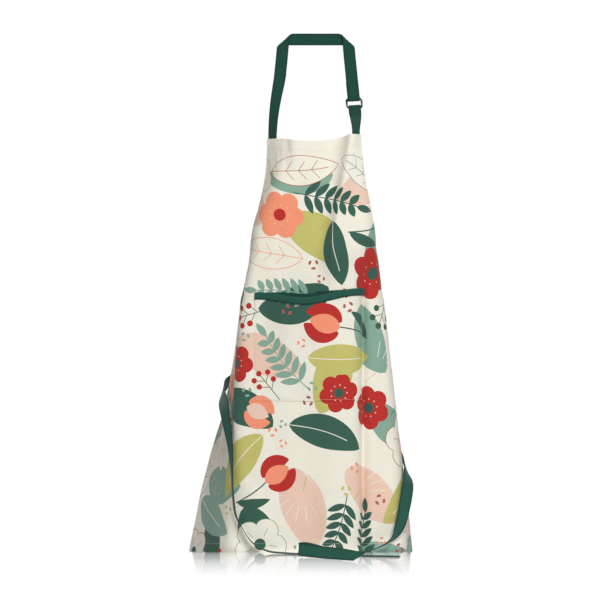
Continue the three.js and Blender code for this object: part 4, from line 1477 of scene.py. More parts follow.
@dataclass
class FrontPanel:
    """Bib and skirt in one printed cloth, with a plain top band and stitched hems."""

    form: PanelForm
    design: PrintDesign
    wall: float = 0.0012
    side_hem: float = 0.011
    foot_hem: float = 0.020
    top_hem: float = 0.022
    hem_rise: float = 0.0004
    hem_slope: float = 0.0016
    edge_step: float = 0.005
    seam_inset: float = 0.0018
    seam_step: float = 0.004
    bib_slope: float = 0.72

    def _side_line(self, inset: float) -> Array:
        """Right-hand cut edge from top to foot, moved in by an inset."""
        form = self.form
        bend = form.armhole_drop * np.sin(np.linspace(0.0, math.pi / 2.0, 110))
        straight = np.arange(form.armhole_drop + self.edge_step, form.length, self.edge_step)
        drop = np.concatenate([bend, straight, [form.length]])
        edge = np.stack([form.half_width_at(drop), drop], 1)
        run = unit(np.gradient(edge, axis=0))
        return edge + np.stack([-run[:, 1], run[:, 0]], 1) * inset

    def outline(self) -> Array:
        """Cut outline as (across, up), anticlockwise."""
        right = self._side_line(0.0)
        foot = np.arange(self.form.half_width - self.edge_step, -self.form.half_width, -self.edge_step)
        foot_line = np.stack([foot, np.full(len(foot), self.form.length)], 1)
        top = np.linspace(-self.form.bib_half_width, self.form.bib_half_width, 46)[1:-1]
        top_line = np.stack([top, np.zeros(len(top))], 1)
        left = right[::-1] * (-1.0, 1.0)
        loop = np.concatenate([right, foot_line, left, top_line]) * (1.0, -1.0)
        return loop[::-1]

    def hem_lines(self, extra: float) -> list[Array]:
        """Inner lines of the hems as (across, drop), moved in by an extra distance."""
        side = self._side_line(self.side_hem + extra)
        foot_drop = self.form.length - self.foot_hem - extra
        side = side[(side[:, 1] > 0.001) & (side[:, 1] < foot_drop)]
        reach = self.form.half_width - self.side_hem - extra
        foot = np.stack([np.linspace(-reach, reach, 130), np.full(130, foot_drop)], 1)
        band = self.form.half_width_at(self.top_hem) - self.side_hem
        top = np.stack([np.linspace(-band, band, 40), np.full(40, self.top_hem + extra)], 1)
        return [side, side * (-1.0, 1.0), foot, top]

    def thickening(self, across: Array, drop: Array) -> Array:
        """Extra height of the folded hems and the doubled top band."""
        edge = self.form.half_width_at(drop) - np.abs(across)
        slope = np.where(drop < self.form.armhole_drop, self.bib_slope, 1.0)
        side = 1.0 - smooth_step(self.side_hem, self.side_hem + self.hem_slope, edge * slope)
        foot = smooth_step(-self.foot_hem - self.hem_slope, -self.foot_hem, drop - self.form.length)
        band = 1.0 - smooth_step(self.top_hem, self.top_hem + self.hem_slope, drop)
        return self.hem_rise * np.maximum(np.maximum(side, foot), band)

    def front(self, across: Array, drop: Array) -> Array:
        """Place on the front face."""
        return self.form.off(across, drop, self.thickening(across, drop) - self.hem_rise)

    def back(self, across: Array, drop: Array) -> Array:
        """Place on the back face."""
        return self.form.off(across, drop, -self.wall - 0.5 * self.thickening(across, drop))

    def build(self, finishes: Finishes, stitcher: Stitcher) -> None:
        """Cut, print and hang the panel, and sew its hems.

        Args:
            finishes: The apron's materials.
            stitcher: Maker of stitches.
        """
        lines = [line * (1.0, -1.0) for extra in (0.0, self.hem_slope) for line in self.hem_lines(extra)]
        cloth = CutCloth(self.outline(), self.design, lines)
        mesh = PrintedSheet("front_panel_cloth", cloth, self.front, self.back).make()
        piece = new_piece("front_panel_cloth", mesh, finishes.print, Slot.PRINT)
        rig.replaces(piece, "front_panel")
        seams = []
        for line in self.hem_lines(-self.seam_inset):
            even = resampled(line, self.seam_step)
            seams.append(self.front(even[:, 0], even[:, 1]))
            seams.append(self.back(even[:, 0], even[:, 1]))
        stitches = stitcher.sew("hem_stitches", seams, finishes.cream_thread, Slot.PRINT)
        drops = np.linspace(0.0, self.form.length, 400)
        area = float(np.mean(2.0 * self.form.half_width_at(drops)) * self.form.length)
        flat = (2.0 * self.form.half_width, self.form.length)
        rests, sewn = ["neck_strap_tape"], [stitches]
        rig.sheet(piece, flat=flat, held="hung", rests_on=rests, area=area, with_pieces=sewn)


def resampled(line: Array, pitch: float) -> Array:
    """Even places along a line.

    Args:
        line: Places along it.
        pitch: Wanted distance between places.

    Returns:
        The even places, ends included.
    """
    along = run_along(line)
    even = np.linspace(0.0, along[-1], max(int(along[-1] / pitch), 2))
    return np.stack([np.interp(even, along, line[:, axis]) for axis in range(line.shape[1])], 1)


@dataclass
class Pocket:
    """Patch pocket in the same print, with a green band over its mouth and a facing behind it."""

    form: PanelForm
    design: PrintDesign
    left: float = -0.117
    right: float = 0.119
    mouth_drop: float = 0.3157
    tilt: float = 0.037
    depth: float = 0.2223
    wall: float = 0.0012
    mouth_centre: float = -0.012
    mouth_reach: float = 0.104
    gape: float = 0.027
    closing: float = 1.5
    sag: float = 0.014
    seam_gap: float = 0.0004
    press_reach: float = 0.007
    press_share: float = 0.35
    end_gap: float = 0.0027
    end_reach: float = 0.060
    band_leg: float = 0.012
    band_wall: float = 0.0010
    band_room: float = 0.0012
    band_seam: float = 0.86
    band_groove: float = 0.0003
    facing_from: float = -0.100
    facing_to: float = 0.080
    facing_above: float = 0.0012
    facing_bottom: float = 0.338
    dip_depth: float = 0.0045
    dip_at: float = -0.002
    dip_rise: float = 0.080
    dip_fall: float = 0.018
    facing_gap: float = 0.0006
    facing_wall: float = 0.0010
    seam: float = 0.003

    def mouth_at(self, across: Array) -> Array:
        """Drop of the mouth, which sags where it gapes."""
        return self.seam_at(across) + self.sag * hump((across - self.mouth_centre) / self.mouth_reach)

    def seam_at(self, across: Array) -> Array:
        """Drop of the line between the mouth's two sewn ends."""
        return self.mouth_drop - self.tilt * across

    def facing_top_at(self, across: Array) -> Array:
        """Drop of the facing's top edge, which dips where the bib's pleat ends."""
        offset = across - self.dip_at
        dip = self.dip_depth * hump(offset / np.where(offset < 0, self.dip_rise, self.dip_fall))
        return self.seam_at(across) - self.facing_above + dip

    def gap(self, across: Array, drop: Array) -> Array:
        """Height of the inner face off the panel."""
        below = drop - self.mouth_at(across)
        to_foot = np.clip(1.0 - below / self.depth, 0.0, 1.0)
        open_by = self.gape * hump((across - self.mouth_centre) / self.mouth_reach) * to_foot**self.closing
        return self.seam_gap + self.end_gap * (1.0 - smooth_step(0.0, self.end_reach, below)) + open_by

    def front(self, across: Array, drop: Array) -> Array:
        """Place on the pocket's front face, which the seam presses down along the sewn edges."""
        inside = np.minimum(across - self.left, self.right - across)
        inside = np.minimum(inside, self.mouth_drop + self.depth - drop)
        press = self.press_share + (1.0 - self.press_share) * smooth_step(0.0, self.press_reach, inside)
        return self.form.off(across, drop, self.gap(across, drop) + self.wall * press)

    def back(self, across: Array, drop: Array) -> Array:
        """Place on the pocket's inner face."""
        return self.form.off(across, drop, self.gap(across, drop))

    def outline(self) -> Array:
        """Cut outline as (across, up), anticlockwise."""
        foot = self.mouth_drop + self.depth
        across = np.linspace(self.left, self.right, 66)
        mouth = np.stack([across, -self.mouth_at(across)], 1)
        drop = np.linspace(0.0, 1.0, 56)[1:-1, None]
        right = mouth[-1] + drop * (np.array([self.right, -foot]) - mouth[-1])
        bottom = np.stack([across[::-1], np.full(66, -foot)], 1)
        left = bottom[-1] + drop * (mouth[0] - bottom[-1])
        return np.concatenate([mouth, right, bottom, left])[::-1]

    def build(self, finishes: Finishes, stitcher: Stitcher) -> None:
        """Make the pocket, its band and its facing, and sew them.

        Args:
            finishes: The apron's materials.
            stitcher: Maker of stitches.
        """
        cloth = CutCloth(self.outline(), self.design)
        mesh = PrintedSheet("pocket_cloth", cloth, self.front, self.back).make()
        piece = new_piece("pocket_cloth", mesh, finishes.print, Slot.PRINT)
        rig.replaces(piece, "pocket")
        foot = self.mouth_drop + self.depth - self.seam
        low, high = self.left + self.seam, self.right - self.seam
        drops = np.linspace(self.mouth_drop + self.band_leg, foot, 60)
        across = np.linspace(low, high, 70)
        seams = [self.front(np.full(60, side), drops) for side in (low, high)]
        seams.append(self.front(across, np.full(70, foot)))
        stitches = stitcher.sew("pocket_stitches", seams, finishes.cream_thread, Slot.PRINT)
        flat = (self.right - self.left, self.depth)
        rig.sheet(piece, flat=flat, held="hung", rests_on=["front_panel_cloth"], with_pieces=[stitches])
        self._band(finishes, stitcher)
        self._facing(finishes)

    def _middle(self, across: Array, drop: Array) -> Array:
        """Place in the middle of the pocket's cloth."""
        return self.form.off(across, drop, self.gap(across, drop) + self.wall / 2.0)

    def _band_place(self, across: Array, turn: Array, below: Array, radius: Array) -> Array:
        """Place on the band: a turn round the mouth's edge, then legs down both sides."""
        mouth = self.mouth_at(across)
        edge = self._middle(across, mouth)
        down = unit(self._middle(across, mouth + self.band_leg) - edge)
        normal = self.form.normal(across, mouth)
        out = unit(normal - down * np.sum(normal * down, axis=-1, keepdims=True))
        forward, lowered = radius * np.cos(turn), below - radius * np.sin(turn)
        return edge + out * forward[..., None] + down * lowered[..., None]

    def _band(self, finishes: Finishes, stitcher: Stitcher) -> None:
        """Green band folded over the mouth."""
        inner = self.wall / 2.0 + self.band_room
        legs = np.array([1.0, 0.93, self.band_seam, 0.8, 0.5, 0.2])
        turns = np.linspace(0.0, math.pi, 9)
        turn = np.concatenate([np.zeros(6), turns, np.full(6, math.pi)])
        below = np.concatenate([legs, np.zeros(9), legs[::-1]]) * self.band_leg
        across = np.linspace(self.left, self.right, 130)
        shape = (len(turn), len(across))
        grid = [np.broadcast_to(values, shape) for values in (across, turn[:, None], below[:, None])]
        groove = np.where(np.isclose(grid[2], self.band_seam * self.band_leg), -self.band_groove, 0.0)
        outer = self._band_place(*grid, inner + self.band_wall + groove)
        flats = np.stack([grid[0], grid[2] + grid[1] * inner], 2)
        # painted shade, darker towards the lower ends of the band's legs
        edges = np.clip(1.1 * grid[2] / self.band_leg - 0.1, 0.0, 1.0)
        mesh = slab("pocket_band", outer, self._band_place(*grid, np.full(shape, inner)), flats, edges)
        piece = new_piece("pocket_band", mesh, finishes.tie_tape, Slot.GREEN)
        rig.replaces(piece, "pocket_binding")
        line, level = np.linspace(self.left, self.right, 90), np.ones(90)
        lowered, radius = level * self.band_seam * self.band_leg, level * (inner + self.band_wall)
        seam = self._band_place(line, np.zeros(90), lowered, radius)
        stitcher.sew("pocket_band_stitches", [seam], finishes.green_thread, Slot.GREEN)

    def _facing(self, finishes: Finishes) -> None:
        """Green strip on the panel behind the mouth."""
        across = np.linspace(self.facing_from, self.facing_to, 80)[None, :]
        top = self.facing_top_at(across)
        drop = top + np.linspace(0.0, 1.0, 9)[:, None] * (self.facing_bottom - top)
        grid = [np.broadcast_to(values, (9, 80)) for values in (across, drop)]
        heights = (self.facing_gap + self.facing_wall, self.facing_gap)
        faces = [self.form.off(*grid, height) for height in heights]
        edges = np.full((9, 80), 0.3)
        mesh = slab("pocket_facing_strip", *faces, np.stack(grid, 2), edges)
        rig.replaces(new_piece("pocket_facing_strip", mesh, finishes.tape, Slot.GREEN), "pocket_facing")


def fold_over(
    along: Array, across: Array, height: Array, origin: float, angle: float, radius: float
) -> list[Array]:
    """Fold a flat tape over a line: what lies past the line turns round a radius and back over.

    Args:
        along: Places along the tape.
        across: Places across it.
        height: Heights off its front face.
        origin: Where the line meets the tape's middle.
        angle: The line's direction in radians.
        radius: The fold's radius.

    Returns:
        The folded along, across and height.
    """
    run, side = math.sin(angle), -math.cos(angle)
    past = (along - origin) * run + across * side
    turned = np.clip(past / radius, 0.0, math.pi)
    beyond = np.maximum(past - math.pi * radius, 0.0)
    moved = np.where(past > 0, (radius - height) * np.sin(turned) - beyond - past, 0.0)
    risen = np.where(past > 0, radius - (radius - height) * np.cos(turned), height)
    return [along + moved * run, across + moved * side, risen]


@dataclass
class NeckStrap:
    """Neck strap with mitre-folded corners, hung through two D-rings on a short tab."""

    form: PanelForm
    profile: TapeProfile = TapeProfile()
    leg: float = 0.230
    across: float = 0.136
    drop: float = 0.152
    tail: float = 0.048
    shift: float = -0.0068
    mitre_angle: float = 85.6
    far_angle: float = 85.9
    mitre_radius: float = 0.0032
    mitre_reach: float = 0.0275
    # width and reach of the painted shadow in the crease at the far mitre
    corner_shade: float = 0.010
    shade_from: float = 0.030
    shade_to: float = 0.060
    lean_angle: float = 30.0
    lean_arc: float = 0.060
    panel_wall: float = 0.0012
    bib_gap: float = 0.0013
    foot_at: float = -0.101
    foot_behind: float = 0.030
    blend_from: float = 0.026
    blend_to: float = 0.150
    leg_step: float = 0.006
    fold_step: float = 0.0012
    tail_step: float = 0.004
    seam_step: float = 0.0011
    ring_turn: float = 0.0053
    wire: float = 0.003
    ring_inner: float = 0.028
    ring_rise: float = 0.023
    squareness: float = 0.38
    ring_slack: float = 0.0006
    ring_apart: float = 0.0034
    ring_tilt: float = 3.0
    ring_shift: float = 0.0012
    tab_at: float = 0.102
    tab_visible: float = 0.050
    tab_behind: float = 0.030
    tab_slack: float = 0.0006
    tab_clear: float = 0.0001
    tab_gap: float = 0.0004
    pinch_from: float = 0.003
    pinch_to: float = 0.024
    sewn_from: float = 0.014
    sewn_to: float = 0.046

    def __post_init__(self) -> None:
        """Work out the places along the tape and the middle of its band."""
        self.corner = self.leg
        self.far_corner = self.corner + self.across
        self.loop = self.far_corner + self.drop
        self.length = self.loop + math.pi * self.ring_turn + self.tail
        middle = np.array((self.corner + self.far_corner) / 2.0)
        self.band_middle = self._folded(middle, np.array(0.0), np.array(self.profile.wall / 2.0))

    def _folded(self, along: Array, across: Array, height: Array) -> Array:
        """Tape folded at both corners: sideways, up and height in the strap's own plane."""
        far = math.radians(self.far_angle / 2.0)
        once = fold_over(along, across, height, self.far_corner, far, self.mitre_radius)
        near = math.radians(self.mitre_angle / 2.0)
        twice = fold_over(once[0], -once[1], once[2], self.corner, near, self.mitre_radius)
        rise = math.radians(self.mitre_angle)
        sideways = twice[0] * math.cos(rise) + twice[1] * math.sin(rise)
        up = twice[0] * math.sin(rise) - twice[1] * math.cos(rise)
        return np.stack(np.broadcast_arrays(sideways, up, twice[2]), axis=-1)

    def hung(self, along: Array, across: Array, height: Array) -> Array:
        """Place on the folded tape, its band at the origin, leaned forward to the bib."""
        place = self._folded(along, across, height) - self.band_middle
        x, up, depth = place[..., 0] + self.shift, place[..., 1], place[..., 2]
        full = math.radians(self.lean_angle)
        arc = np.clip(-up, 0.0, self.lean_arc)
        lean = full * arc / self.lean_arc
        radius = self.lean_arc / full
        straight = np.maximum(-up - self.lean_arc, 0.0)
        y = -radius * (1.0 - np.cos(lean)) - straight * np.sin(lean) + depth * np.cos(lean)
        z = np.maximum(up, 0.0) - radius * np.sin(lean) - straight * np.cos(lean) - depth * np.sin(lean)
        return np.stack([x, y, z], axis=-1)

    def behind_bib(self, across: Array, up: Array, depth: Array) -> Array:
        """Place behind the bib's top edge, carried straight up above it."""
        place = self.form.off(across, np.maximum(-up, 0.0), -self.panel_wall - self.bib_gap - depth)
        place[..., 2] += np.maximum(up, 0.0)
        return place

    def place(self, along: Array, across: Array, height: Array) -> Array:
        """Place on the strap: its foot follows the bib, its far end turns round the rings and up behind."""
        turned = fold_over(along, across, height, self.loop, math.pi / 2.0, self.ring_turn)
        free = self.hung(*turned)
        sewn = self.behind_bib(self.foot_at - across, along - self.foot_behind, height)
        blend = smooth_step(self.blend_from, self.blend_to, along)[..., None]
        return sewn + (free - sewn) * blend

    def stations(self) -> Array:
        """Places along the strap, close together in its folds."""
        reach, step = self.mitre_reach, self.tail_step
        fine = [(place - reach, place + reach) for place in (self.corner, self.far_corner)]
        fine.append((self.loop - step, self.loop + math.pi * self.ring_turn + step))
        runs, start = [], 0.0
        for low, high in fine:
            runs.append(np.linspace(start, low, max(int((low - start) / self.leg_step), 2), endpoint=False))
            runs.append(np.linspace(low, high, int((high - low) / self.fold_step), endpoint=False))
            start = high
        runs.append(np.linspace(start, self.length, max(int((self.length - start) / step), 2)))
        return np.concatenate(runs)

    def build(self, finishes: Finishes, stitcher: Stitcher) -> None:
        """Make the strap, the rings and the tab.

        Args:
            finishes: The apron's materials.
            stitcher: Maker of stitches.
        """
        mesh = sweep("neck_strap_tape", self.place, self.stations(), self.profile)
        self._shade_corner(mesh)
        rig.replaces(new_piece("neck_strap_tape", mesh, finishes.tape, Slot.GREEN), "neck_strap")
        along = np.arange(0.0, self.length, self.seam_step)
        seams = self.profile.seams(self.place, along)
        stitcher.sew("neck_strap_stitches", seams, finishes.green_thread, Slot.GREEN)
        for side, name in ((-1.0, "front"), (1.0, "back")):
            ring = new_piece(f"d_ring_{name}_wire", self._ring(side), finishes.wire, Slot.METAL)
            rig.replaces(ring, f"d_ring_{name}")
        self._tab(finishes, stitcher)

    def _shade_corner(self, mesh: bpy.types.Mesh) -> None:
        """Paint shadow on the band close to the leg that is folded over its far end.

        Args:
            mesh: The strap's mesh, whose painted-shade measure is raised there.
        """
        leg = self.far_corner + np.array([self.shade_from, self.shade_to] * 2)
        edges = self.profile.width / 2.0 * np.array([-1.0, -1.0, 1.0, 1.0])
        sides = self.place(leg, edges, np.zeros(4)).reshape(2, 2, 3)
        start, end = sides[np.argmin(sides[:, 0, 0])]
        along = np.repeat(self.stations(), len(self.profile.ring()))
        places, values = np.empty(len(along) * 3), np.empty(len(along))
        mesh.vertices.foreach_get("co", places)
        mesh.attributes["Edge"].data.foreach_get("value", values)
        x, z = places[0::3], places[2::3]
        beside = start[0] + (z - start[2]) * (end[0] - start[0]) / (end[2] - start[2]) - x
        near = np.clip(1.0 - np.abs(beside) / self.corner_shade, 0.0, 1.0) * (along < self.far_corner)
        mesh.attributes["Edge"].data.foreach_set("value", np.maximum(values, near))

    def _ring(self, side: float) -> bpy.types.Mesh:
        """One D-ring of round wire: a straight bar and a shallow arch.

        Args:
            side: -1 for the front ring, 1 for the one behind it.

        Returns:
            The ring's mesh.
        """
        steps, turns = 88, 14
        dense = np.linspace(0.0, 2.0 * np.pi, 4001)
        reached = run_along(self._ring_line(dense))
        middle = self._ring_line(np.interp(np.arange(steps) / steps, reached / reached[-1], dense))
        run = unit(np.roll(middle, -1, 0) - np.roll(middle, 1, 0))
        angle = np.linspace(0.0, 2.0 * np.pi, turns, endpoint=False)
        outward = self.wire / 2.0 * np.cos(angle)[None, :]
        depth = np.broadcast_to(self.wire / 2.0 * np.sin(angle)[None, :], (steps, turns))
        across = middle[:, 0][:, None] + outward * run[:, 1][:, None]
        below = self.ring_rise - middle[:, 1][:, None] + outward * run[:, 0][:, None]
        tilt = math.radians(side * self.ring_tilt)
        turned = across * math.cos(tilt) - below * math.sin(tilt)
        lowered = across * math.sin(tilt) + below * math.cos(tilt)
        behind = self.ring_turn + side * self.ring_apart / 2.0 + depth
        points = self.hung(self.loop - self.ring_slack + lowered, turned + side * self.ring_shift, behind)
        made = WallMesh(f"d_ring_{side:+.0f}")
        made.add_points(points, np.stack([across, below], 2), np.zeros((steps, turns)))
        made.wrap(steps, turns, True)
        return made.finish(80.0)

    def _ring_line(self, at: Array) -> Array:
        """Middle of a ring's wire, sideways and up, at angles round it."""
        turn = polar(1.0, at)
        square = np.sign(turn) * np.abs(turn) ** self.squareness + (0.0, 1.0)
        return square * ((self.ring_inner + self.wire) / 2.0, self.ring_rise / 2.0)

    def _tab_place(self, along: Array, across: Array, height: Array) -> Array:
        """Place on the tab, a tape doubled over the rings' bars with both ends behind the bib."""
        length = self.tab_visible + self.tab_behind
        held = (self.ring_apart + self.wire) / 2.0 + self.tab_slack
        turn_length = math.pi * held
        turn = np.pi * np.clip((along - length) / turn_length, 0.0, 1.0)
        below = np.maximum(np.maximum(length - along, along - length - turn_length), 0.0)
        spread = held + (self.tab_gap / 2.0 - held) * smooth_step(self.pinch_from, self.pinch_to, below)
        reach = spread + self.profile.wall - height
        depth = -reach * np.cos(turn)
        lowered = below - reach * np.sin(turn)
        top = self.loop + self.ring_rise - 2.0 * self.ring_slack
        free = self.hung(top + lowered, across, self.ring_turn + depth)
        level = self.profile.wall + self.tab_gap / 2.0 + self.tab_clear + depth
        sewn = self.behind_bib(self.tab_at + across, self.tab_visible - lowered, level)
        blend = smooth_step(self.sewn_from, self.sewn_to, lowered)[..., None]
        return free + (sewn - free) * blend

    def _tab(self, finishes: Finishes, stitcher: Stitcher) -> None:
        """Tab that holds the rings."""
        length = self.tab_visible + self.tab_behind
        turn_length = math.pi * ((self.ring_apart + self.wire) / 2.0 + self.tab_slack)
        legs = np.linspace(0.0, length, 34, endpoint=False)
        turn = np.linspace(length, length + turn_length, 12, endpoint=False)
        stations = np.concatenate([legs, turn, length + turn_length + np.linspace(0.0, length, 34)])
        mesh = sweep("ring_tab_tape", self._tab_place, stations, self.profile)
        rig.replaces(new_piece("ring_tab_tape", mesh, finishes.tape, Slot.GREEN), "ring_tab")
        along = np.linspace(0.0, stations[-1], 150)
        seams = self.profile.seams(self._tab_place, along, 2)
        stitcher.sew("ring_tab_stitches", seams, finishes.green_thread, Slot.GREEN)


@dataclass(frozen=True)
class OffPanel:
    """Tie's place off the panel: flat place, height and its width's angle from level."""

    across: float
    drop: float
    off: float
    angle: float


@dataclass(frozen=True)
class Free:
    """Free place of a tie, with the azimuth and tilt of its width."""

    x: float
    y: float
    z: float
    azimuth: float
    tilt: float


class TieRoute(Enum):
    """Routes of the two waist ties, from their sewn ends."""

    LEFT = (
        OffPanel(-0.312, 0.356, -0.0038, 40),
        Free(-0.154, 0.103, -0.6, -90, -30),
        Free(-0.16, 0.116, -0.645, -90, -8),
        Free(-0.17, 0.117, -0.69, -92, 6),
        Free(-0.181, 0.11, -0.714, -98, 18),
        Free(-0.19, 0.092, -0.727, -107, 52),
        Free(-0.195, 0.05, -0.736, -62, 72),
        Free(-0.196, 0.004, -0.745, -40, 58),
        Free(-0.193, -0.042, -0.757, -27, 38),
        Free(-0.188, -0.079, -0.776, -34, 26),
        Free(-0.182, -0.104, -0.806, -46, 22),
        Free(-0.176, -0.119, -0.84, -59, 16),
        Free(-0.1725, -0.129, -0.875, -72, 11),
        Free(-0.1705, -0.137, -0.915, -80, 6),
        Free(-0.1685, -0.142, -0.95, -80, 5),
        Free(-0.163, -0.147, -0.985, -80, 3),
        Free(-0.149, -0.154, -1.012, -84, 0),
        Free(-0.127, -0.164, -1.04, -86, 0),
        Free(-0.098, -0.175, -1.054, -86, 0),
        Free(-0.060, -0.186, -1.0574, -80, 0),
        Free(0.000, -0.206, -1.0579, -78, 0),
        Free(0.060, -0.222, -1.0579, -80, 0),
        Free(0.120, -0.233, -1.0579, -84, 0),
        Free(0.166, -0.239, -1.0579, -85, 0),
    )
    RIGHT = (
        OffPanel(0.312, 0.356, -0.0038, -40),
        Free(0.1423, 0.074, -0.5978, 90, 30),
        Free(0.1452, 0.082, -0.6496, 90, 4),
        Free(0.1492, 0.08, -0.7193, 90, -6),
        Free(0.1572, 0.072, -0.779, 90, -16),
        Free(0.1661, 0.062, -0.8268, 86, -22),
        Free(0.1809, 0.051, -0.8716, 86, -40),
        Free(0.1869, 0.012, -0.89, 75, -62),
        Free(0.1895, -0.027, -0.901, 45, -58),
        Free(0.1905, -0.071, -0.9129, 16, -38),
        Free(0.188, -0.111, -0.9313, 8, -20),
        Free(0.182, -0.125, -0.9641, 12, -14),
        Free(0.1711, -0.138, -1.0059, 30, -20),
        Free(0.1522, -0.154, -1.0338, 74, -8),
        Free(0.122, -0.164, -1.05, 80, -3),
        Free(0.070, -0.198, -1.0544, 84, 2),
        Free(0.018, -0.216, -1.0486, 90, 32),
        Free(-0.022, -0.225, -1.0434, 90, 78),
        Free(-0.035, -0.238, -1.0432, 90, 88),
        Free(-0.022, -0.252, -1.044, 90, 80),
        Free(0.020, -0.271, -1.0466, 90, 66),
        Free(0.060, -0.292, -1.0484, 90, 50),
        Free(0.092, -0.308, -1.051, 90, 34),
    )


def spline(points: Array, share: Array, even: bool) -> Array:
    """Smooth curve through points.

    Args:
        points: The points.
        share: Places along it, from 0 to 1, the points being evenly spread.
        even: True for a curve that also suits uneven distances.

    Returns:
        The curve's places.
    """
    last = len(points) - 1
    at = np.clip(share * last, 0.0, last)
    low = np.minimum(at.astype(int), last - 1)
    u = (at - low)[:, None]
    padded = np.concatenate([[2.0 * points[0] - points[1]], points, [2.0 * points[-1] - points[-2]]])
    p0, p1, p2, p3 = (padded[low + place] for place in range(4))
    if even:
        pairs = ((p0, p1), (p1, p2), (p2, p3))
        d0, d1, d2 = (np.sqrt(np.linalg.norm(b - a, axis=1))[:, None] for a, b in pairs)
        start = ((p1 - p0) / d0 - (p2 - p0) / (d0 + d1) + (p2 - p1) / d1) * d1
        finish = ((p2 - p1) / d1 - (p3 - p1) / (d1 + d2) + (p3 - p2) / d2) * d1
    else:
        start, finish = 0.5 * (p2 - p0), 0.5 * (p3 - p1)
    square, cube = 3 * (p2 - p1) - 2 * start - finish, 2 * (p1 - p2) + start + finish
    return p1 + start * u + square * (u * u) + cube * (u * u * u)


@dataclass
class WaistTie:
    """Waist tie: a stitched tape that hangs from the panel's corner and lies on the floor."""

    name: str
    route: TieRoute
    form: PanelForm
    slant: float = 0.0
    slant_reach: float = 0.030
    profile: TapeProfile = TapeProfile()
    pitch: float = 0.0045
    nudge: float = 1e-4
    bare_end: float = 0.002

    def __post_init__(self) -> None:
        """Work out the tie's centre line, its width direction and its length."""
        places = [self._place_of(step) for step in self.route.value]
        centres, widths = (np.array([place[at] for place in places]) for at in (0, 1))
        fine = np.linspace(0.0, 1.0, 3000)
        line = spline(centres, fine, True)
        along = run_along(line)
        self.length = float(along[-1])
        self.stations = np.linspace(0.0, self.length, int(self.length / self.pitch))
        share = np.interp(self.stations, along, fine)
        self.line = spline(centres, share, True)
        ahead = spline(centres, share + self.nudge, True)
        tangent = unit(ahead - spline(centres, np.maximum(share - self.nudge, 0.0), True))
        self.normals = unit(np.cross(tangent, spline(widths, share, False)))
        self.widths = np.cross(self.normals, tangent)

    def _place_of(self, step: OffPanel | Free) -> tuple[Array, Array]:
        """Centre and width direction at one place of the route."""
        if isinstance(step, Free):
            angle, level = math.radians(step.azimuth), math.cos(math.radians(step.tilt))
            width = (level * math.cos(angle), level * math.sin(angle), math.sin(math.radians(step.tilt)))
            return np.array((step.x, step.y, step.z)), np.array(width)
        normal = self.form.normal(step.across, step.drop)
        level = unit(np.cross((0.0, 0.0, 1.0), normal))
        turn = -math.radians(step.angle)
        width = level * math.cos(turn) + np.cross(normal, level) * math.sin(turn)
        return self.form.base(step.across, step.drop) + normal * (step.off + self.profile.wall / 2.0), width

    def place(self, along: Array, across: Array, height: Array) -> Array:
        """Place on the tie; its far end is cut at a slant."""
        near_end = smooth_step(self.length - self.slant_reach, self.length, along)
        cut = np.clip(along - near_end * self.slant * (0.5 - across / self.profile.width), 0.0, self.length)
        centre, width, normal = (
            np.stack([np.interp(cut, self.stations, values[:, axis]) for axis in range(3)], axis=-1)
            for values in (self.line, self.widths, self.normals)
        )
        return centre + width * across[..., None] + normal * (self.profile.wall / 2.0 - height)[..., None]

    def build(self, finishes: Finishes, stitcher: Stitcher) -> None:
        """Make the tie and sew its edges.

        Args:
            finishes: The apron's materials.
            stitcher: Maker of stitches.
        """
        mesh = sweep(f"{self.name}_tape", self.place, self.stations, self.profile)
        piece = new_piece(f"{self.name}_tape", mesh, finishes.tie_tape, Slot.GREEN)
        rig.replaces(piece, self.name)
        along = np.linspace(0.0, self.length - self.bare_end, 420)
        seams = self.profile.seams(self.place, along)
        stitches = stitcher.sew(f"{self.name}_stitches", seams, finishes.green_thread, Slot.GREEN)
        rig.cord(
            piece,
            exit=self.line[0],
            length=self.length,
            diameter=self.profile.width,
            far_end="bare",
            stiffness="limp",
            lay="hanging",
            path=self.line[::2],
            with_pieces=[stitches],
        )
        log.info("%s: %.3f m long", self.name, self.length)


@dataclass(frozen=True)
class Softbox:
    """Square soft light that faces the apron: its place, side and power in watts."""

    name: str
    place: tuple[float, float, float]
    size: float
    power: float


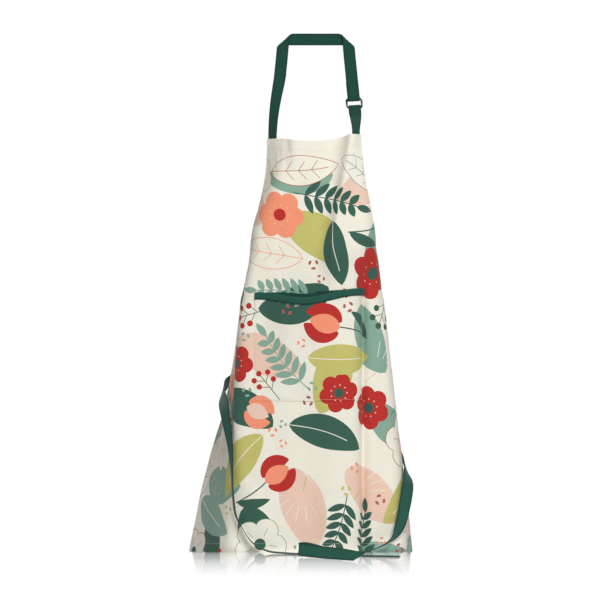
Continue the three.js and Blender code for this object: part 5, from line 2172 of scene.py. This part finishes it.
@dataclass
class Studio:
    """Camera, soft light, white surround and a floor that mirrors the apron's foot."""

    aim: tuple[float, float, float] = (0.0, -0.1, -0.55)
    eye: tuple[float, float, float] = (-0.03255, -4.610, -0.5471)
    lens: float = 131.7
    floor_z: float = -1.0595
    floor_reach: float = 1.5
    floor_back: float = -0.142
    mirror: float = 0.80
    mirror_near: float = -0.56
    mirror_far: float = -0.17
    mirror_curve: float = 1.4
    mirror_blur: float = 0.06
    ambient: float = 0.26
    lights: Sequence[Softbox] = (
        Softbox("key", (0.62, -2.68, 0.6), 1.0, 61.0),
        Softbox("fill", (-1.8, -2.4, -0.4), 1.2, 2.5),
        Softbox("back", (-0.9, 2.5, 1.0), 1.4, 34.0),
    )

    def camera(self) -> None:
        """Set the camera up level, at the photograph's distance."""
        data = bpy.data.cameras.new("Camera")
        data.lens, data.sensor_width = self.lens, 36.0
        data.clip_start, data.clip_end = 0.05, 60.0
        camera = bpy.data.objects.new("Camera", data)
        camera.location = self.eye
        camera.rotation_euler = (math.radians(90.0), 0.0, 0.0)
        bpy.context.scene.collection.objects.link(camera)
        bpy.context.scene.camera = camera

    def _light(self, box: Softbox) -> None:
        """Set up a softbox.

        Args:
            box: Its name, place, side and power.
        """
        data = bpy.data.lights.new(box.name, "AREA")
        data.shape, data.size, data.energy = "SQUARE", box.size, box.power
        light = bpy.data.objects.new(box.name, data)
        light.location = box.place
        facing = Vector(self.aim) - Vector(box.place)
        light.rotation_euler = facing.to_track_quat("-Z", "Y").to_euler()
        bpy.context.scene.collection.objects.link(light)

    def _surround(self) -> None:
        """White surround that shows full white but lights the apron softly."""
        world = bpy.data.worlds.new("Studio")
        bpy.context.scene.world = world
        world.use_nodes = True
        nodes = Nodes(world.node_tree)
        background = world.node_tree.nodes["Background"]
        background.inputs[0].default_value = (1.0, 1.0, 1.0, 1.0)
        path = nodes.add("ShaderNodeLightPath")
        seen = nodes.math("MAXIMUM", path.outputs["Is Camera Ray"], path.outputs["Is Glossy Ray"])
        nodes.link(nodes.math("MAXIMUM", seen, self.ambient), background.inputs[1])

    def _floor(self) -> None:
        """Clear floor that mirrors what stands on it, less and less towards the camera."""
        made, nodes, shader = new_material("Mirror floor")
        place = nodes.add("ShaderNodeTexCoord").outputs["Object"]
        depth = nodes.add("ShaderNodeSeparateXYZ", Vector=place).outputs[1]
        near, far = self.mirror_near, self.mirror_far
        fade = nodes.add("ShaderNodeMapRange", Value=depth, From_Min=near, From_Max=far).outputs[0]
        strength = nodes.math("MULTIPLY", nodes.math("POWER", fade, self.mirror_curve), self.mirror)
        clear = nodes.add("ShaderNodeBsdfTransparent").outputs[0]
        white = (1.0, 1.0, 1.0, 1.0)
        gloss = nodes.add("ShaderNodeBsdfGlossy", Roughness=self.mirror_blur, Color=white).outputs[0]
        mixed = nodes.add("ShaderNodeMixShader", i0=strength, i1=clear, i2=gloss)
        nodes.link(mixed.outputs[0], made.node_tree.nodes["Material Output"].inputs[0])
        made.node_tree.nodes.remove(shader)
        reach, back, z = self.floor_reach, self.floor_back, self.floor_z
        corners = [(-reach, -reach, z), (reach, -reach, z), (reach, back, z), (-reach, back, z)]
        mesh = bpy.data.meshes.new("floor")
        mesh.from_pydata(corners, [], [(0, 1, 2, 3)])
        mesh.materials.append(made)
        floor = bpy.data.objects.new("floor", mesh)
        bpy.context.scene.collection.objects.link(floor)
        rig.stage(floor)

    def build(self) -> None:
        """Set up the surround, the floor and the light."""
        self._surround()
        self._floor()
        for box in self.lights:
            self._light(box)
        bpy.context.scene.view_settings.view_transform = "Standard"
        bpy.context.scene.view_settings.look = "None"


def write_sizes(path: str = "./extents.json") -> None:
    """Write the boxes of the solids and of the dressed apron.

    Args:
        path: The file to write.
    """
    boxes = {"cad": CAD_BOX, "visual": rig.bounds()}
    with open(path, "w") as file:
        json.dump({name: [list(corner) for corner in box] for name, box in boxes.items()}, file)


def main() -> None:
    """Build the apron piece by piece, then the stage."""
    logging.basicConfig(level=logging.INFO, format="%(name)s: %(message)s")
    studio = Studio()
    studio.camera()
    finishes, stitcher = Finishes(), Stitcher()
    WaistTie("tie_left", TieRoute.LEFT, PANEL).build(finishes, stitcher)
    WaistTie("tie_right", TieRoute.RIGHT, PANEL, slant=0.018).build(finishes, stitcher)
    design = PrintDesign(PANEL)
    log.info("print: %d motifs", len(design.drawings))
    FrontPanel(PANEL, design).build(finishes, stitcher)
    Pocket(PANEL, design).build(finishes, stitcher)
    NeckStrap(PANEL).build(finishes, stitcher)
    studio.build()
    write_sizes()


if __name__ == "__main__":
    main()
